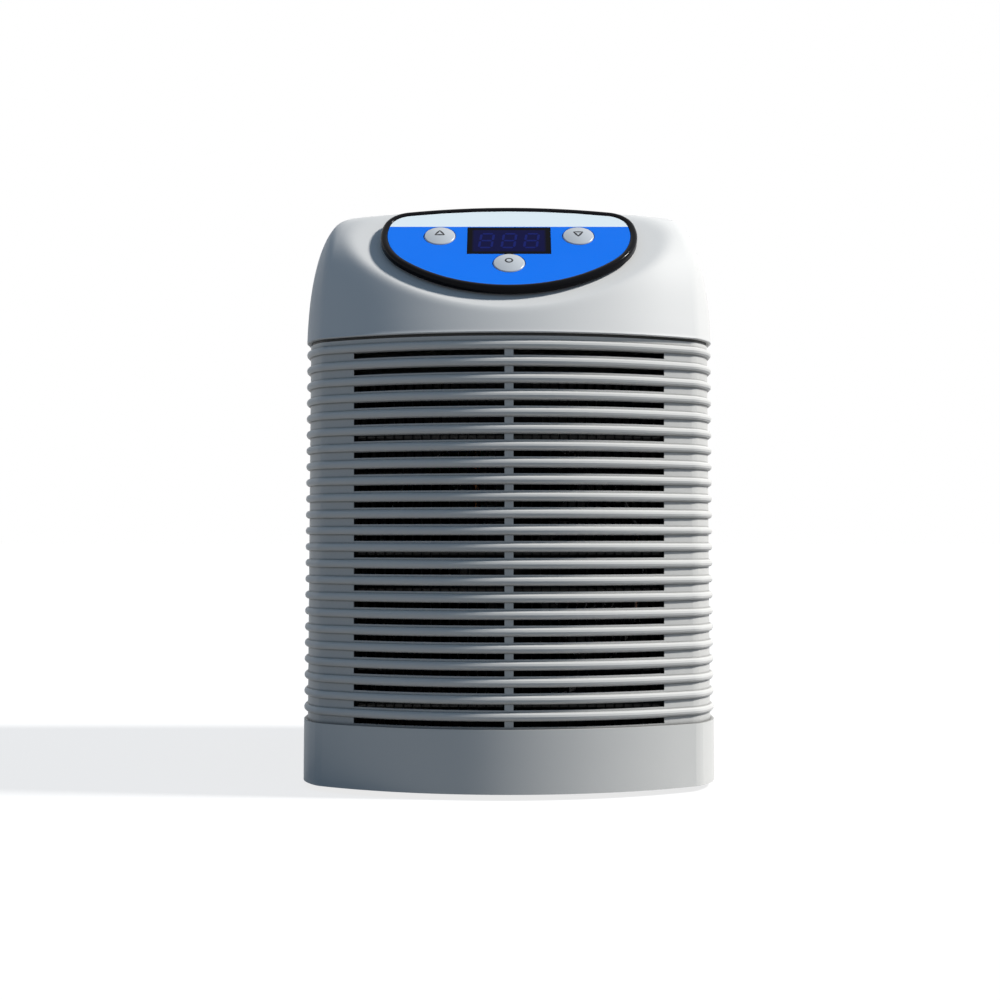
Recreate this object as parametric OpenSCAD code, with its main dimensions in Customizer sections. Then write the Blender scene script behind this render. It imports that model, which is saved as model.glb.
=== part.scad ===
// Aquarium chiller: ribbed housing, sloping key panel, fan-cooled condenser and coil vessel.
// Front faces -Y, up is +Z. The origin is on the floor under the middle of the whole object.

/* [Housing] */
// Width across the skirt
body_w = 220; // [214:1:240]
// Depth from the front bow to the rear face
body_d = 330; // [322:1:380]
// Plan radius of the bowed front
front_r = 165; // [150:1:200]
// Plan radius of the front corners
corner_r = 16; // [12:0.5:18]
// Plan radius that the bowed front part of each side aims at
side_aim_r = 58; // [50:1:70]
// Plan angle where a front corner turns into the side
side_turn = 58; // [56:0.5:62]
// Plan radius of the rear corners
rear_r = 14; // [10:1:22]
// Wall of the ribbed and rear shells
wall = 2.4; // [2:0.1:2.6]
// Inward lean of the walls between the skirt's foot and the cover
draft = 2; // [0.5:0.1:2]
// Length of the side that belongs to the rear panel
rear_zone = 32; // [26:1:50]
// Height of the feet under the skirt
foot_h = 3; // [2.5:0.5:12]
// Radius of a foot
foot_r = 11; // [8:0.5:14]

/* [Louvre] */
// Height of the plain skirt
skirt_h = 32.4; // [28:0.1:40]
// Number of ribs
rib_count = 23; // [18:1:26]
// Height of one rib
rib_h = 4.2; // [3.6:0.1:4.6]
// How far a rib stands out of the wall
rib_out = 2; // [1.4:0.1:2.2]
// Height of one slot
slot_h = 3; // [2.4:0.1:3.2]
// Land between a slot and the rib above it
slot_land = 0.25; // [0.2:0.05:0.6]
// Plain strip between a rib and the next slot
strip_h = 1.05; // [0.8:0.05:1.6]
// Width over both columns of slots
slot_span = 159.4; // [120:0.2:166]
// Width of the post between the two columns
post_w = 4.5; // [3:0.5:12]

/* [Cover] */
// Height of the cover above its lip
cover_h = 73.25; // [70:0.25:80]
// Wall of the cover
cover_wall = 2.4; // [2:0.1:2.6]
// Sideways reach of each shoulder
shoulder_side = 21; // [18:0.5:28]
// Backward reach of the front shoulder
shoulder_front = 77; // [72:1:90]
// Forward reach of the rear shoulder
shoulder_rear = 14; // [8:0.5:24]
// Slope of the deck from the horizontal
deck_angle = 42.5; // [40:0.5:44]
// Height of the deck's lower fold above the lip
fold_rise = 10.75; // [9.5:0.25:12]
// Softness of the fold between the deck and the front
fold_soft = 9; // [6:0.5:10]

/* [Key panel] */
// Width of the panel
pod_w = 135; // [128:0.5:140]
// Radius of the panel's lower edge
pod_low_r = 80; // [78:0.5:84]
// Radius of the panel's upper corners
pod_corner_r = 16; // [12:0.5:18]
// Height of the rim above the deck
pod_h = 4; // [3.6:0.1:6]
// Width of the glossy rim
rim_w = 3.5; // [3:0.1:5]
// Diameter of a key
key_d = 16.5; // [14:0.1:17]
// Crown of a key's dome
key_crown = 1; // [0.5:0.1:1.6]
// Travel of a key
key_travel = 0.8; // [0.4:0.1:0.9]
// Distance of the upper keys from the middle
key_x = 36.4; // [34:0.1:38]
// Width of the display window
window_w = 43.5; // [36:0.1:45]
// Height of the display window along the deck
window_h = 24.8; // [20:0.1:26]

/* [Condenser and fan] */
// Room beside the fin block for its tube bends
cond_side = 24.6; // [23:0.1:34]
// Height of the fin block
cond_h = 200; // [190:1:206]
// Depth of the fin block
cond_d = 26; // [22:1:30]
// Number of fins
fin_count = 34; // [20:1:44]
// Thickness of a fin
fin_t = 0.5; // [0.3:0.1:1]
// Rows of tubes
tube_rows = 10; // [4:2:12]
// Radius of a condenser tube
tube_r = 3.5; // [3:0.5:4]
// Radius of the fan rotor
rotor_r = 70; // [60:1:74]
// Number of fan blades
blade_count = 5; // [3:1:9]
// Radius of the rotor's hub
hub_r = 20; // [16:1:26]
// Radius of the fan motor
motor_r = 28; // [24:1:34]
// Length of the fan motor
motor_l = 36; // [28:1:40]

/* [Refrigeration] */
// Radius of the compressor can
comp_r = 50; // [44:1:51]
// Height of the compressor can
comp_h = 120; // [100:1:126]
// Inner radius of the exchanger vessel
vessel_r = 31; // [29:0.5:32]
// Height of the exchanger vessel
vessel_h = 168; // [150:1:176]
// Turns of the titanium coil
coil_turns = 7; // [4:1:9]
// Radius of the titanium tube
coil_tube_r = 4; // [3:0.5:4.5]
// Radius of the copper lines
line_r = 2.5; // [2:0.1:3]

/* [Water ports] */
// Outer radius of a hose spigot
spigot_r = 8; // [7:0.1:8.6]
// Radius of a spigot's bore
spigot_bore_r = 6; // [4:0.1:6.4]
// Length of a spigot behind its nut
spigot_l = 28; // [20:1:40]
// Height of the inlet port
inlet_z = 40; // [34:1:56]
// Height of the outlet port
outlet_z = 140; // [120:1:148]

/* [Hidden] */
$fn = 64;

// Overrun of every cut, and the play between pieces
over = 1;
fit = 0.2;
fine_step = 0.001;
key_play = 0.35;

// Housing levels, measured from the skirt's foot
rib_pitch = strip_h + slot_h + slot_land + rib_h;
ribs_top = skirt_h + rib_count * rib_pitch;
groove_lip = 2.35;
groove_h = 1.5;
neck_h = 4;
groove_z = ribs_top + groove_lip;
lip_z = groove_z + groove_h;
neck_top = lip_z + neck_h;
ledge_h = 2;
ledge_w = 3.2;
half_w = body_w / 2;
turn_step = 0.5;
front_reach = half_w - side_aim_r * (1 - sin(side_turn)) - corner_r * sin(side_turn);
front_aim = asin(front_reach / (front_r - corner_r));
front_turn = round(front_aim / turn_step) * turn_step;
side_r = (half_w - (front_r - corner_r) * sin(front_turn) - corner_r * sin(side_turn)) / (1 - sin(side_turn));
seam_y = body_d - rear_zone;
inner_half = half_w - draft - rib_out - wall;
rib_sides = 6;

// Water ports
nut_h = 7;
port_reach = nut_h + spigot_l;
front_y = -(body_d + port_reach) / 2;

// Dome of the cover
dome_start = 4.25;
dome_h = cover_h - dome_start;
round_front = 6;
round_rear = 8;
crease_soft = 2.5;
deck_y = draft;
deck_z = lip_z + fold_rise;

// Key panel outline: headings where its arcs meet, and its place up the deck
pod_t = 14.3;
pod_turns = [0, 45, 105, 170];
pod_side_r = (pod_w / 2 - pod_low_r * sin(pod_turns[1])) / (1 - sin(pod_turns[1]));
pod_c1 = [0, pod_t + pod_low_r];
pod_c2 = pod_c1 + (pod_low_r - pod_side_r) * facing(pod_turns[1]);
pod_c3 = pod_c2 + (pod_side_r - pod_corner_r) * facing(pod_turns[2]);
pod_top_r = pod_corner_r + pod_c3.x / sin(pod_turns[3]);
pod_c4 = pod_c3 + (pod_corner_r - pod_top_r) * facing(pod_turns[3]);

// Key panel levels along the deck's normal
collar_in = 6.8;
ledge_in = 9;
collar_drop = 3;
pod_gap = 0.1;
plate_n = 1.2;
overlay_n = 2.6;
overlay_t = 0.6;
key_r = key_d / 2;
key_flange = 1.2;
key_flange_w = 1;
key_rise = 0.2;
stem_r = 1.7;
stem_h = 0.6;
plunger_h = 0.6;
switch_h = 2.5;
switch_w = 6;
board_t = 1.6;
key_lift = 0.3;
key_floor = plate_n - key_lift - key_flange;
plunger_n = key_floor - stem_h - key_travel - key_lift;
board_n = plunger_n - plunger_h - switch_h;
keys_up = 48.4;
set_up = 23.2;
window_up = 44.1;
keys_t = pod_t + keys_up;
set_t = pod_t + set_up;
window_t = pod_t + window_up;
window_drop = 0.1;
board_in = 12;
post_r = 2.8;
pilot_r = 1.1;
post_side = 5;
post_up = 3;
post_low_x = 26;
post_down = 1;
panel_posts = [[pod_w / 2 - board_in - post_side, keys_t + post_up], [post_low_x, set_t - post_down]];
panel_screw_l = 5;
panel_screw_head_r = 2.4;
panel_screw_head_h = 1.5;
module_rim = 0.75;

// Condenser and fan, from the front to the rear
cond_gap = 6;
cond_half = inner_half - cond_side;
cond_w = cond_half * 2;
end_plate_t = 1.2;
wall_run_gap = 16;
wall_run_x = inner_half - wall_run_gap;
wall_run_play = 2.5;
column_shift = cond_d / 4;
cond_y = ceil(rib_out + wall + draft
  + max(bow(cond_half) + cond_gap, bow(wall_run_x + line_r) + line_r + wall_run_play - column_shift));
tray_t = 3;
cond_leg = 8;
cond_z = tray_t + cond_leg;
tube_step = cond_h / tube_rows;
tube_play = 0.05;
tube_front_y = cond_y + column_shift;
tube_rear_y = cond_y + cond_d - column_shift;
stub_l = 3.5;
bend_out = 1.4;
shroud_t = 2;
shroud_y = cond_y + cond_d;
ring_play = 2.5;
ring_t = 2.5;
ring_l = 20;
fan_z = cond_z + cond_h / 2;
hub_l = 16;
hub_gap = 6;
hub_y = shroud_y + hub_gap;
blade_t = 1.8;
blade_depth = 12;
blade_half_angle = 24;
blade_rows = 5;
blade_steps = 6;
blade_root_share = 0.9;
blade_camber_share = 0.18;
shaft_r = 4;
bracket_gap = 2;
bracket_y = hub_y + hub_l + bracket_gap;
bracket_t = 2;
bracket_ring_w = 8;
arm_w = 10;
leg_gap = 3;
leg_r = rotor_r + ring_play + ring_t + leg_gap;
motor_y = bracket_y + bracket_t;
motor_cap = 6;
shaft_play = 0.1;
shaft_tail = 24;
fan_nut_r = 7;
fan_nut_h = 4;

// Compressor, on four rubber grommets
comp_gap = 8;
comp_seam = 4;
comp_flange_r = comp_r + comp_seam;
comp_x = -(inner_half - comp_flange_r - comp_gap);
comp_y = motor_y + motor_l + motor_cap + comp_gap + comp_flange_r;
grommet_h = 6.5;
grommet_r = 8;
grommet_step = 1;
comp_plate_t = 2.5;
comp_plate_z = tray_t + grommet_h;
comp_z = comp_plate_z + comp_plate_t;
lug_in = 3;
lug_half = comp_r - lug_in;
lug_rim = 9;
stud_r = 3;
stud_hole_r = 5.2;
washer_h = 1.2;
stud_nut_h = 4;
stud_nut_share = 1.8;
stud_tail = 2;
dome_drop = 16;
stub_r = 4;
stub_rise = 14;
stub_off = 22;
stub_z = comp_z + comp_h + stub_rise;
terminal_w = 42;
terminal_h = 56;
terminal_d = 20;
terminal_rise = 48;
terminal_z = comp_z + terminal_rise;

// Exchanger vessel, lid and coil
vessel_t = 3;
flange_w = 8;
flange_t = 6;
vessel_out_r = vessel_r + vessel_t;
vessel_flange_r = vessel_out_r + flange_w;
vessel_side_gap = 4;
vessel_rear_gap = 6;
vessel_x = inner_half - vessel_flange_r - vessel_side_gap;
vessel_y = body_d - wall - vessel_flange_r - vessel_rear_gap;
lid_z = tray_t + vessel_h;
lid_t = 8;
seal_t = 1.5;
lid_screw_r = 1.9;
lid_screw_count = 8;
lid_screw_head_r = 3.5;
lid_screw_head_h = 3;
coil_gap = 5;
coil_r = vessel_r - coil_tube_r - coil_gap;
coil_low = 24;
coil_step = (vessel_h - coil_low * 2) / coil_turns;
coil_rise = 10;
coil_top = lid_z + lid_t + coil_rise;
coil_sides = 6;
coil_facets = 16;
probe_r = 3;
probe_head_r = 5;
probe_head_h = 5;
probe_gap = 3;
probe_l = lid_z + lid_t - coil_low - coil_step * (coil_turns - 0.5) - coil_tube_r - probe_gap;

// Port fittings
thread_t = 1.5;
thread_r = spigot_r + thread_t;
port_flange_r = 14;
port_flange_t = 3;
port_seal_t = 1.5;
port_bore_r = thread_r + fit;
nut_r = 15;
spigot_chamfer = 1;
boss_r = 13.5;
boss_tail = 8;

// Refrigerant lines
pipe_sides = 8;
drier_r = 9.5;
drier_l = 100;
drier_neck = 8;
drier_neck_t = 1;
drier_neck_r = line_r + drier_neck_t;
drier_z = 44;
drier_side_gap = 14;
drier_x = inner_half - drier_r - drier_side_gap;
drier_y = motor_y + motor_l / 2;
clip_t = 1.6;
clip_h = 12;
clip_foot = 12;
capillary_r = 1.2;
line_high_gap = 6;
line_low_gap = 1;
line_cross_gap = 26;
line_high_z = cond_z + cond_h + line_high_gap;
line_low_z = tray_t + clip_t + line_r + line_low_gap;
line_cross_y = comp_y - lug_half - line_cross_gap;
line_bend = 8;
line_run_rise = 44;
line_run_z = lid_z + line_run_rise;

// Power inlet and boards on the rear panel
power_side = 50;
power_x = power_side - half_w;
power_z = 42;
power_w = 27;
power_h = 20;
power_deep = 18;
power_flange_w = 50;
power_flange_h = 23;
power_flange_t = 3;
socket_w = 24;
socket_h = 16.5;
socket_deep = 15;
pin_t = 2;
pin_h = 4;
pin_l = 12;
pin_off = 7;
pin_rise = 3;
power_y = body_d - lean(power_z - power_flange_h / 2);
ear_hole_r = 1.7;
ear_hole_x = 20;
control_w = 84;
control_h = 56;
control_side = 54;
control_x = control_side - half_w;
control_z = 194;
standoff_h = 7;
standoff_r = 4;
control_in = 6;
board_screw_l = 6;
board_screw_r = 1.3;
board_screw_head_r = 2.8;
board_screw_head_h = 2;
transformer_w = 36;
transformer_d = 26;
transformer_h = 30;
winding_d = 3;
relay_w = 20;
relay_d = 15;
relay_h = 16;
board_y = body_d - lean(control_z + control_h / 2) - wall - standoff_h - board_t;

// Exhaust slots of the rear panel
vent_rows = 7;
vent_h = 3;
vent_pitch = 8.5;
vent_z = 58;
vent_gap = 6;
vent_x = -30;
vent_side = 8;
vent_w = half_w - rear_r - vent_side - vent_gap / 2 + vent_x;

// Feet, bosses and housing screws
foot_stem_r = 5;
foot_taper = 1;
foot_side = 32;
foot_rear = 34;
foot_x = half_w - foot_side;
foot_front_y = 62;
foot_rear_y = body_d - foot_rear;
boss_h = 14;
housing_boss_r = 5.5;
boss_side = 4;
boss_front = 102;
boss_rear = 20;
boss_x = inner_half - boss_side;
boss_rows = [boss_front, body_d - boss_rear];
screw_r = 1.5;
screw_pilot = 1.6;
screw_l = 12;
screw_head_r = 3.4;
screw_head_h = 2;

// Plan geometry

// Unit vector that points out of the plan at an angle from the front
function facing(a) = [sin(a), -cos(a)];

// How far the bowed front falls back at a distance from the middle
function bow(x) = front_r - sqrt(pow(front_r, 2) - pow(x, 2));

// Points of an arc about c between two facing angles
function arc_points(c, r, a0, a1, n) = [for (i = [0:n]) c + r * facing(a0 + (a1 - a0) * i / n)];

// Half angle of the front arc, then the centres of the front, corner, side and rear arcs
function plan_chain(hw, yf, yr, rf, rc, rs, turn, rr) =
  let (
    front_half = asin((hw - rs * (1 - sin(turn)) - rc * sin(turn)) / (rf - rc)),
    cf = [0, yf + rf],
    cc = cf + (rf - rc) * facing(front_half),
    cs = cc - (rs - rc) * facing(turn)
  )
  [front_half, cf, cc, cs, [hw - rr, yr - rr]];

// Closed plan outline, from the front middle round the right side, the rear and the left side
function plan_outline(hw, yf, yr, rf, rc, rs, turn, rr) =
  let (
    p = plan_chain(hw, yf, yr, rf, rc, rs, turn, rr),
    right = concat(
      arc_points(p[1], rf, 0, p[0], 16),
      [for (i = [1:4]) p[2] + rc * facing(p[0] + (turn - p[0]) * i / 4)],
      [for (i = [1:6]) p[3] + rs * facing(turn + (90 - turn) * i / 6)],
      arc_points(p[4], rr, 90, 180, 4),
      [[0, yr]]
    )
  )
  mirrored_loop(right);

// A half outline that starts and ends on the middle line, closed with its mirror image
function mirrored_loop(half) =
  concat(half, [for (i = [len(half) - 2:-1:1]) [-half[i].x, half[i].y]]);

// The outline of the rib tips, drawn in by a distance
function tip_outline(inset) =
  plan_outline(half_w - inset, inset, body_d - inset, front_r - inset, corner_r - inset,
    side_r - inset, side_turn, rear_r - inset);

body_chain = plan_chain(half_w, 0, body_d, front_r, corner_r, side_r, side_turn, rear_r);

function lean(z) = draft * z / lip_z;

// Solids from rings of points

// Closed solid through a list of rings that all run the same way round. A banded end is
// closed by bands across the ring, for a thin curved section drawn out and back.
module loft(rings, banded = false) {
  n = len(rings[0]);
  last = (len(rings) - 1) * n;
  polyhedron(
    points = [for (ring = rings) each ring],
    faces = concat(
      banded
        ? [for (k = [0:n / 2 - 2]) [k, k + 1, n - 2 - k, n - 1 - k]]
        : [[for (i = [0:n - 1]) i]],
      [for (j = [0:len(rings) - 2], i = [0:n - 1]) each loft_quad(j * n, (j + 1) * n, i, (i + 1) % n)],
      banded
        ? [for (k = [0:n / 2 - 2]) [last + n - 1 - k, last + n - 2 - k, last + k + 1, last + k]]
        : [[for (i = [n - 1:-1:0]) last + i]]
    )
  );
}

// Closed frame through rings where the last ring joins the first
module ring_loft(rings) {
  n = len(rings[0]);
  m = len(rings);
  polyhedron(
    points = [for (ring = rings) each ring],
    faces = [for (j = [0:m - 1], i = [0:n - 1])
      each loft_quad(j * n, ((j + 1) % m) * n, i, (i + 1) % n)]
  );
}

function loft_quad(low, high, i, k) = [[low + i, high + i, high + k], [low + i, high + k, low + k]];

// Round tube along a path
module tube(path, r, sides) {
  first = path_tangent(path, 0);
  side = abs(first.z) < 0.9 ? [0, 0, 1] : [1, 0, 0];
  frames = carried_frames(path, 0, side);
  loft([for (i = [0:len(path) - 1])
    [for (k = [0:sides - 1])
      path[i] + r * (cos(360 * k / sides) * frames[i][1]
        + sin(360 * k / sides) * cross(frames[i][0], frames[i][1]))]]);
}

function unit(v) = v / norm(v);
function path_tangent(p, i) = unit(p[min(i + 1, len(p) - 1)] - p[max(i - 1, 0)]);
function carried_frames(p, i, v) =
  i == len(p) ? [] :
  let (t = path_tangent(p, i), n = unit(v - t * (v * t)))
  concat([[t, n]], carried_frames(p, i + 1, n));

// A route with each corner replaced by a smooth bend that starts a distance before it
function bent_route(p, d, n = 4) = concat(
  [p[0]],
  [for (i = [1:len(p) - 2])
    let (a = p[i] + unit(p[i - 1] - p[i]) * d, b = p[i] + unit(p[i + 1] - p[i]) * d)
    each [for (k = [0:n]) let (s = k / n) a * pow(1 - s, 2) + p[i] * (2 * s * (1 - s)) + b * pow(s, 2)]],
  [p[len(p) - 1]]
);

// Places things measured from the front bow and the skirt's foot
module in_housing() {
  translate([0, front_y, foot_h])
    children();
}

// Places things on the deck: X across, Y up the slope from the fold, Z out of the deck
module on_deck(x = 0, t = 0, n = 0) {
  in_housing()
    translate([0, deck_y, deck_z])
      rotate([deck_angle, 0, 0])
        translate([x, t, n])
          children();
}

// Shells

// Sections lie at or inside zero, which is the line of the rib tips at the skirt's foot

// Groove under the cover and the neck that enters it
neck_points = [
  [-lean(groove_z) - rib_out, groove_z],
  [-draft - cover_wall - fit, groove_z],
  [-draft - cover_wall - fit, neck_top],
  [-draft - rib_out - wall, neck_top]
];

ribbed_section = concat(
  [[0, 0], [-lean(skirt_h), skirt_h], [-lean(skirt_h) - rib_out, skirt_h]],
  [for (i = [0:rib_count - 1]) each rib_nose(skirt_h + (i + 1) * rib_pitch - rib_h / 2)],
  neck_points,
  [[-rib_out - wall, 0]]
);

// Half-round nose of one rib about its middle height
function rib_nose(z) = [for (k = [0:rib_sides]) let (a = 180 * k / rib_sides)
  [-lean(z) - rib_out * (1 - sin(a)), z - rib_h / 2 * cos(a)]];

// The plain shell at the rear is flush with the rib tips
plain_section = concat(
  [[0, 0], [-lean(groove_z), groove_z]],
  [for (i = [1:3]) neck_points[i]],
  [
    [-draft - rib_out - wall, groove_z - wall],
    [-lean(groove_z - wall * 2) - wall, groove_z - wall * 2],
    [-lean(tray_t + wall) - wall, tray_t + wall],
    [-rib_out - wall, tray_t],
    [-rib_out - wall, 0]
  ]
);

// Moves in a whole step, a thousandth step and a rest, so that tangent arcs meet exactly
module exact_move(v) {
  whole = [for (x = v) round(x)];
  thousandth = [for (x = v - whole) round(x / fine_step) * fine_step];
  translate(whole)
    translate(thousandth)
      translate(v - whole - thousandth)
        children();
}

// Turns a section about a plan centre at radius r, between two facing angles
module swept_section(c, r, a0, a1, section) {
  exact_move([c.x, c.y, 0])
    rotate_extrude(angle = a1 - a0, start = 270 + a0, $fn = 144)
      exact_move([r, 0])
        polygon(section);
}

// Carries a section straight back along the right side
module side_section(y0, y1, section) {
  length = y1 - y0;
  exact_move([half_w, y0, 0])
    translate([0, length, 0])
      rotate([90, 0, 0])
        linear_extrude(height = length)
          polygon(section);
}

module both_sides() {
  children();
  mirror([1, 0, 0])
    children();
}

// Post with a pilot bore that a housing screw enters from below
module screw_boss(y) {
  translate([boss_x, y, tray_t])
    difference() {
      union() {
        cylinder(r = housing_boss_r, h = boss_h);
        translate([0, -housing_boss_r / 2, 0])
          cube([half_w - lean(tray_t + boss_h) - boss_x - rib_out - wall / 2, housing_boss_r, boss_h]);
      }
      translate([0, 0, -over])
        cylinder(r = screw_pilot, h = boss_h - wall + over);
    }
}

module front_housing() {
  color([0.80, 0.80, 0.78])
    in_housing()
      difference() {
        union() {
          swept_section(body_chain[1], front_r, -front_turn, front_turn, ribbed_section);
          both_sides() {
            swept_section(body_chain[2], corner_r, front_turn, side_turn, ribbed_section);
            swept_section(body_chain[3], side_r, side_turn, 90, ribbed_section);
            side_section(body_chain[3].y, seam_y, ribbed_section);
            screw_boss(boss_rows[0]);
          }
        }
        louvre_slots();
      }
}

// Two columns of slots, each slot just under its rib
module louvre_slots() {
  slot_w = (slot_span - post_w) / 2;
  depth = bow(slot_span / 2) + draft + rib_out + wall;
  for (i = [0:rib_count - 1])
    for (x = [-slot_span / 2, post_w / 2])
      translate([x, -over, skirt_h + i * rib_pitch + strip_h])
        cube([slot_w, depth + over * 2, slot_h]);
}

module rear_panel() {
  color([0.78, 0.78, 0.76])
    in_housing()
      difference() {
        union() {
          both_sides() {
            side_section(seam_y, body_d - rear_r, plain_section);
            swept_section(body_chain[4], rear_r, 90, 180, plain_section);
            screw_boss(boss_rows[1]);
          }
          translate([rear_r - half_w, body_d, 0])
            rotate([90, 0, 90])
              linear_extrude(height = body_w - rear_r * 2)
                polygon(plain_section);
          at_board_corners()
            translate([0, board_t, 0])
              standoff();
        }
        exhaust_slots();
        for (z = [inlet_z, outlet_z])
          translate([vessel_x, body_d - wall * 2 - over, z])
            rotate([-90, 0, 0])
              cylinder(r = port_bore_r, h = wall * 2 + over * 2);
        translate([power_x - power_w / 2 - fit, body_d - wall * 2 - over, power_z - power_h / 2 - fit])
          cube([power_w + fit * 2, wall * 2 + over * 2, power_h + fit * 2]);
        for (x = [-ear_hole_x, ear_hole_x])
          translate([power_x + x, body_d - wall * 2 - over, power_z])
            rotate([-90, 0, 0])
              cylinder(r = screw_pilot, h = wall * 2 + over * 2);
      }
}

module exhaust_slots() {
  for (i = [0:vent_rows - 1])
    for (x = [vent_x - vent_gap / 2 - vent_w, vent_x + vent_gap / 2])
      translate([x, body_d - wall * 2 - over, vent_z + i * vent_pitch])
        cube([vent_w, wall * 2 + over * 2, vent_h]);
}

// Pilot-bored post on the rear wall that carries the control board
module standoff() {
  rotate([-90, 0, 0])
    difference() {
      cylinder(r = standoff_r, h = standoff_h + wall / 2);
      translate([0, 0, -over])
        cylinder(r = board_screw_r + fit / 2, h = board_screw_l + over);
    }
}

module at_board_corners() {
  for (x = [-1, 1])
    for (z = [-1, 1])
      translate([control_x + x * (control_w / 2 - control_in), board_y,
        control_z + z * (control_h / 2 - control_in)])
        children();
}

// Height of the lower of two surfaces, with the crease between them rounded
function soft_min(a, b, k) = min(a, b) - pow(max(k - abs(a - b), 0) / k, 2) * k / 4;

// One ring of the cover at a roll angle: 0 at the lip's top, 90 at the flat top
function cover_ring(roll, inset) =
  let (
    drawn = 1 - cos(roll),
    soft = fold_soft + (crease_soft - fold_soft) * min(drawn, 1),
    level = lip_z + dome_start + (dome_h - inset) * sin(roll),
    plan = plan_outline(
      half_w - draft - inset - shoulder_side * drawn,
      draft + inset + shoulder_front * drawn,
      body_d - draft - inset - shoulder_rear * drawn,
      front_r - draft - inset,
      corner_r - draft - inset + round_front * drawn,
      side_r - draft - inset,
      side_turn + (90 - side_turn) * drawn,
      rear_r - draft - inset + round_rear * drawn
    )
  )
  [for (p = plan) [p.x, p.y, soft_min(level, deck_level(p.y, inset), soft)]];

// Height of the deck plane, or of its underside at a wall's depth
function deck_level(y, depth) = deck_z - depth / cos(deck_angle) + (y - deck_y) * tan(deck_angle);

// One plain ring of the cover's rim
function rim_ring(inset, z) = [for (p = tip_outline(draft + inset)) [p.x, p.y, z]];

module top_cover() {
  rolls = [for (a = [0:3:18]) a, for (a = [22:4:70]) a, for (a = [72.5:2.5:85]) a, 90];
  inner_rolls = [90, for (a = [84:-6:48]) a, for (a = [40:-8:24]) a, 18, 12, 7];
  color([0.84, 0.84, 0.82])
    difference() {
      in_housing()
        loft(concat(
          [for (a = inner_rolls) cover_ring(a, cover_wall)],
          [
            rim_ring(cover_wall, neck_top + ledge_h),
            rim_ring(cover_wall + ledge_w, neck_top + ledge_h),
            rim_ring(cover_wall + ledge_w, neck_top),
            rim_ring(cover_wall, neck_top),
            rim_ring(cover_wall, lip_z),
            rim_ring(0, lip_z)
          ],
          [for (a = rolls) cover_ring(a, 0)]
        ));
      on_deck(n = -collar_drop * 3)
        linear_extrude(height = collar_drop * 3 + pod_h)
          polygon(pod_outline(fit * 2 - collar_in));
    }
}

module base_tray() {
  color([0.30, 0.30, 0.31])
    in_housing()
      difference() {
        linear_extrude(height = tray_t)
          polygon(tip_outline(rib_out + wall + fit));
        at_feet()
          translate([0, 0, -over])
            cylinder(r = foot_stem_r + shaft_play, h = tray_t + over * 2);
        at_screws()
          translate([0, 0, -over])
            cylinder(r = screw_r + fit, h = tray_t + over * 2);
      }
}

module at_feet() {
  for (x = [-foot_x, foot_x])
    for (y = [foot_front_y, foot_rear_y])
      translate([x, y, 0])
        children();
}

module at_screws() {
  for (x = [-boss_x, boss_x])
    for (y = boss_rows)
      translate([x, y, 0])
        children();
}

module feet() {
  color([0.06, 0.06, 0.06])
    in_housing()
      at_feet()
        union() {
          translate([0, 0, -foot_h])
            cylinder(r1 = foot_r - foot_taper, r2 = foot_r, h = foot_h);
          cylinder(r = foot_stem_r, h = tray_t);
        }
}

module housing_screws() {
  color("silver")
    in_housing()
      at_screws()
        union() {
          translate([0, 0, -screw_head_h])
            cylinder(r = screw_head_r, h = screw_head_h);
          cylinder(r = screw_r, h = screw_l);
        }
}

// Key panel

// Half-moon outline of the panel, let out or drawn in by a distance
function pod_outline(grow) = mirrored_loop(concat(
  arc_points(pod_c1, pod_low_r + grow, pod_turns[0], pod_turns[1], 9),
  [for (i = [1:10]) pod_c2 + (pod_side_r + grow)
    * facing(pod_turns[1] + (pod_turns[2] - pod_turns[1]) * i / 10)],
  [for (i = [1:7]) pod_c3 + (pod_corner_r + grow)
    * facing(pod_turns[2] + (pod_turns[3] - pod_turns[2]) * i / 7)],
  [for (i = [1:3]) pod_c4 + (pod_top_r + grow) * facing(pod_turns[3] + (180 - pod_turns[3]) * i / 3)]
));

function pod_ring(grow, n) = [for (p = pod_outline(grow)) [p.x, p.y, n]];

module panel_bezel() {
  color([0.03, 0.03, 0.04])
    on_deck()
      ring_loft([
        pod_ring(-ledge_in, -collar_drop),
        pod_ring(-collar_in, -collar_drop),
        pod_ring(-collar_in, pod_gap),
        pod_ring(0, pod_gap),
        for (a = [0:15:90]) pod_ring(-rim_w / 2 * (1 - cos(a)), pod_h - rim_w / 2 * (1 - sin(a))),
        for (a = [20:20:80]) pod_ring(-rim_w / 2 * (1 + sin(a)), pod_h - rim_w / 4 * (1 - cos(a))),
        pod_ring(-rim_w, overlay_n),
        pod_ring(-rim_w, plate_n),
        pod_ring(-ledge_in, plate_n)
      ]);
}

// Holes for the keys and the window through the plate and the overlay
module panel_holes() {
  for (p = [[-key_x, keys_t], [key_x, keys_t], [0, set_t]])
    translate([p.x, p.y, -over])
      cylinder(r = key_r + key_play, h = pod_h + over * 2);
  translate([-window_w / 2 - fit, window_t - window_h / 2 - fit, -over])
    cube([window_w + fit * 2, window_h + fit * 2, pod_h + over * 2]);
}

module panel_plate() {
  color([0.10, 0.10, 0.11])
    on_deck()
      difference() {
        union() {
          translate([0, 0, plate_n])
            linear_extrude(height = overlay_n - plate_n)
              polygon(pod_outline(-rim_w - fit / 2));
          both_sides()
            for (p = panel_posts)
              translate([p.x, p.y, board_n + board_t])
                cylinder(r = post_r, h = plate_n - board_n - board_t);
        }
        panel_holes();
        both_sides()
          for (p = panel_posts)
            translate([p.x, p.y, board_n])
              cylinder(r = pilot_r, h = panel_screw_l + board_t);
      }
}

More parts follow.
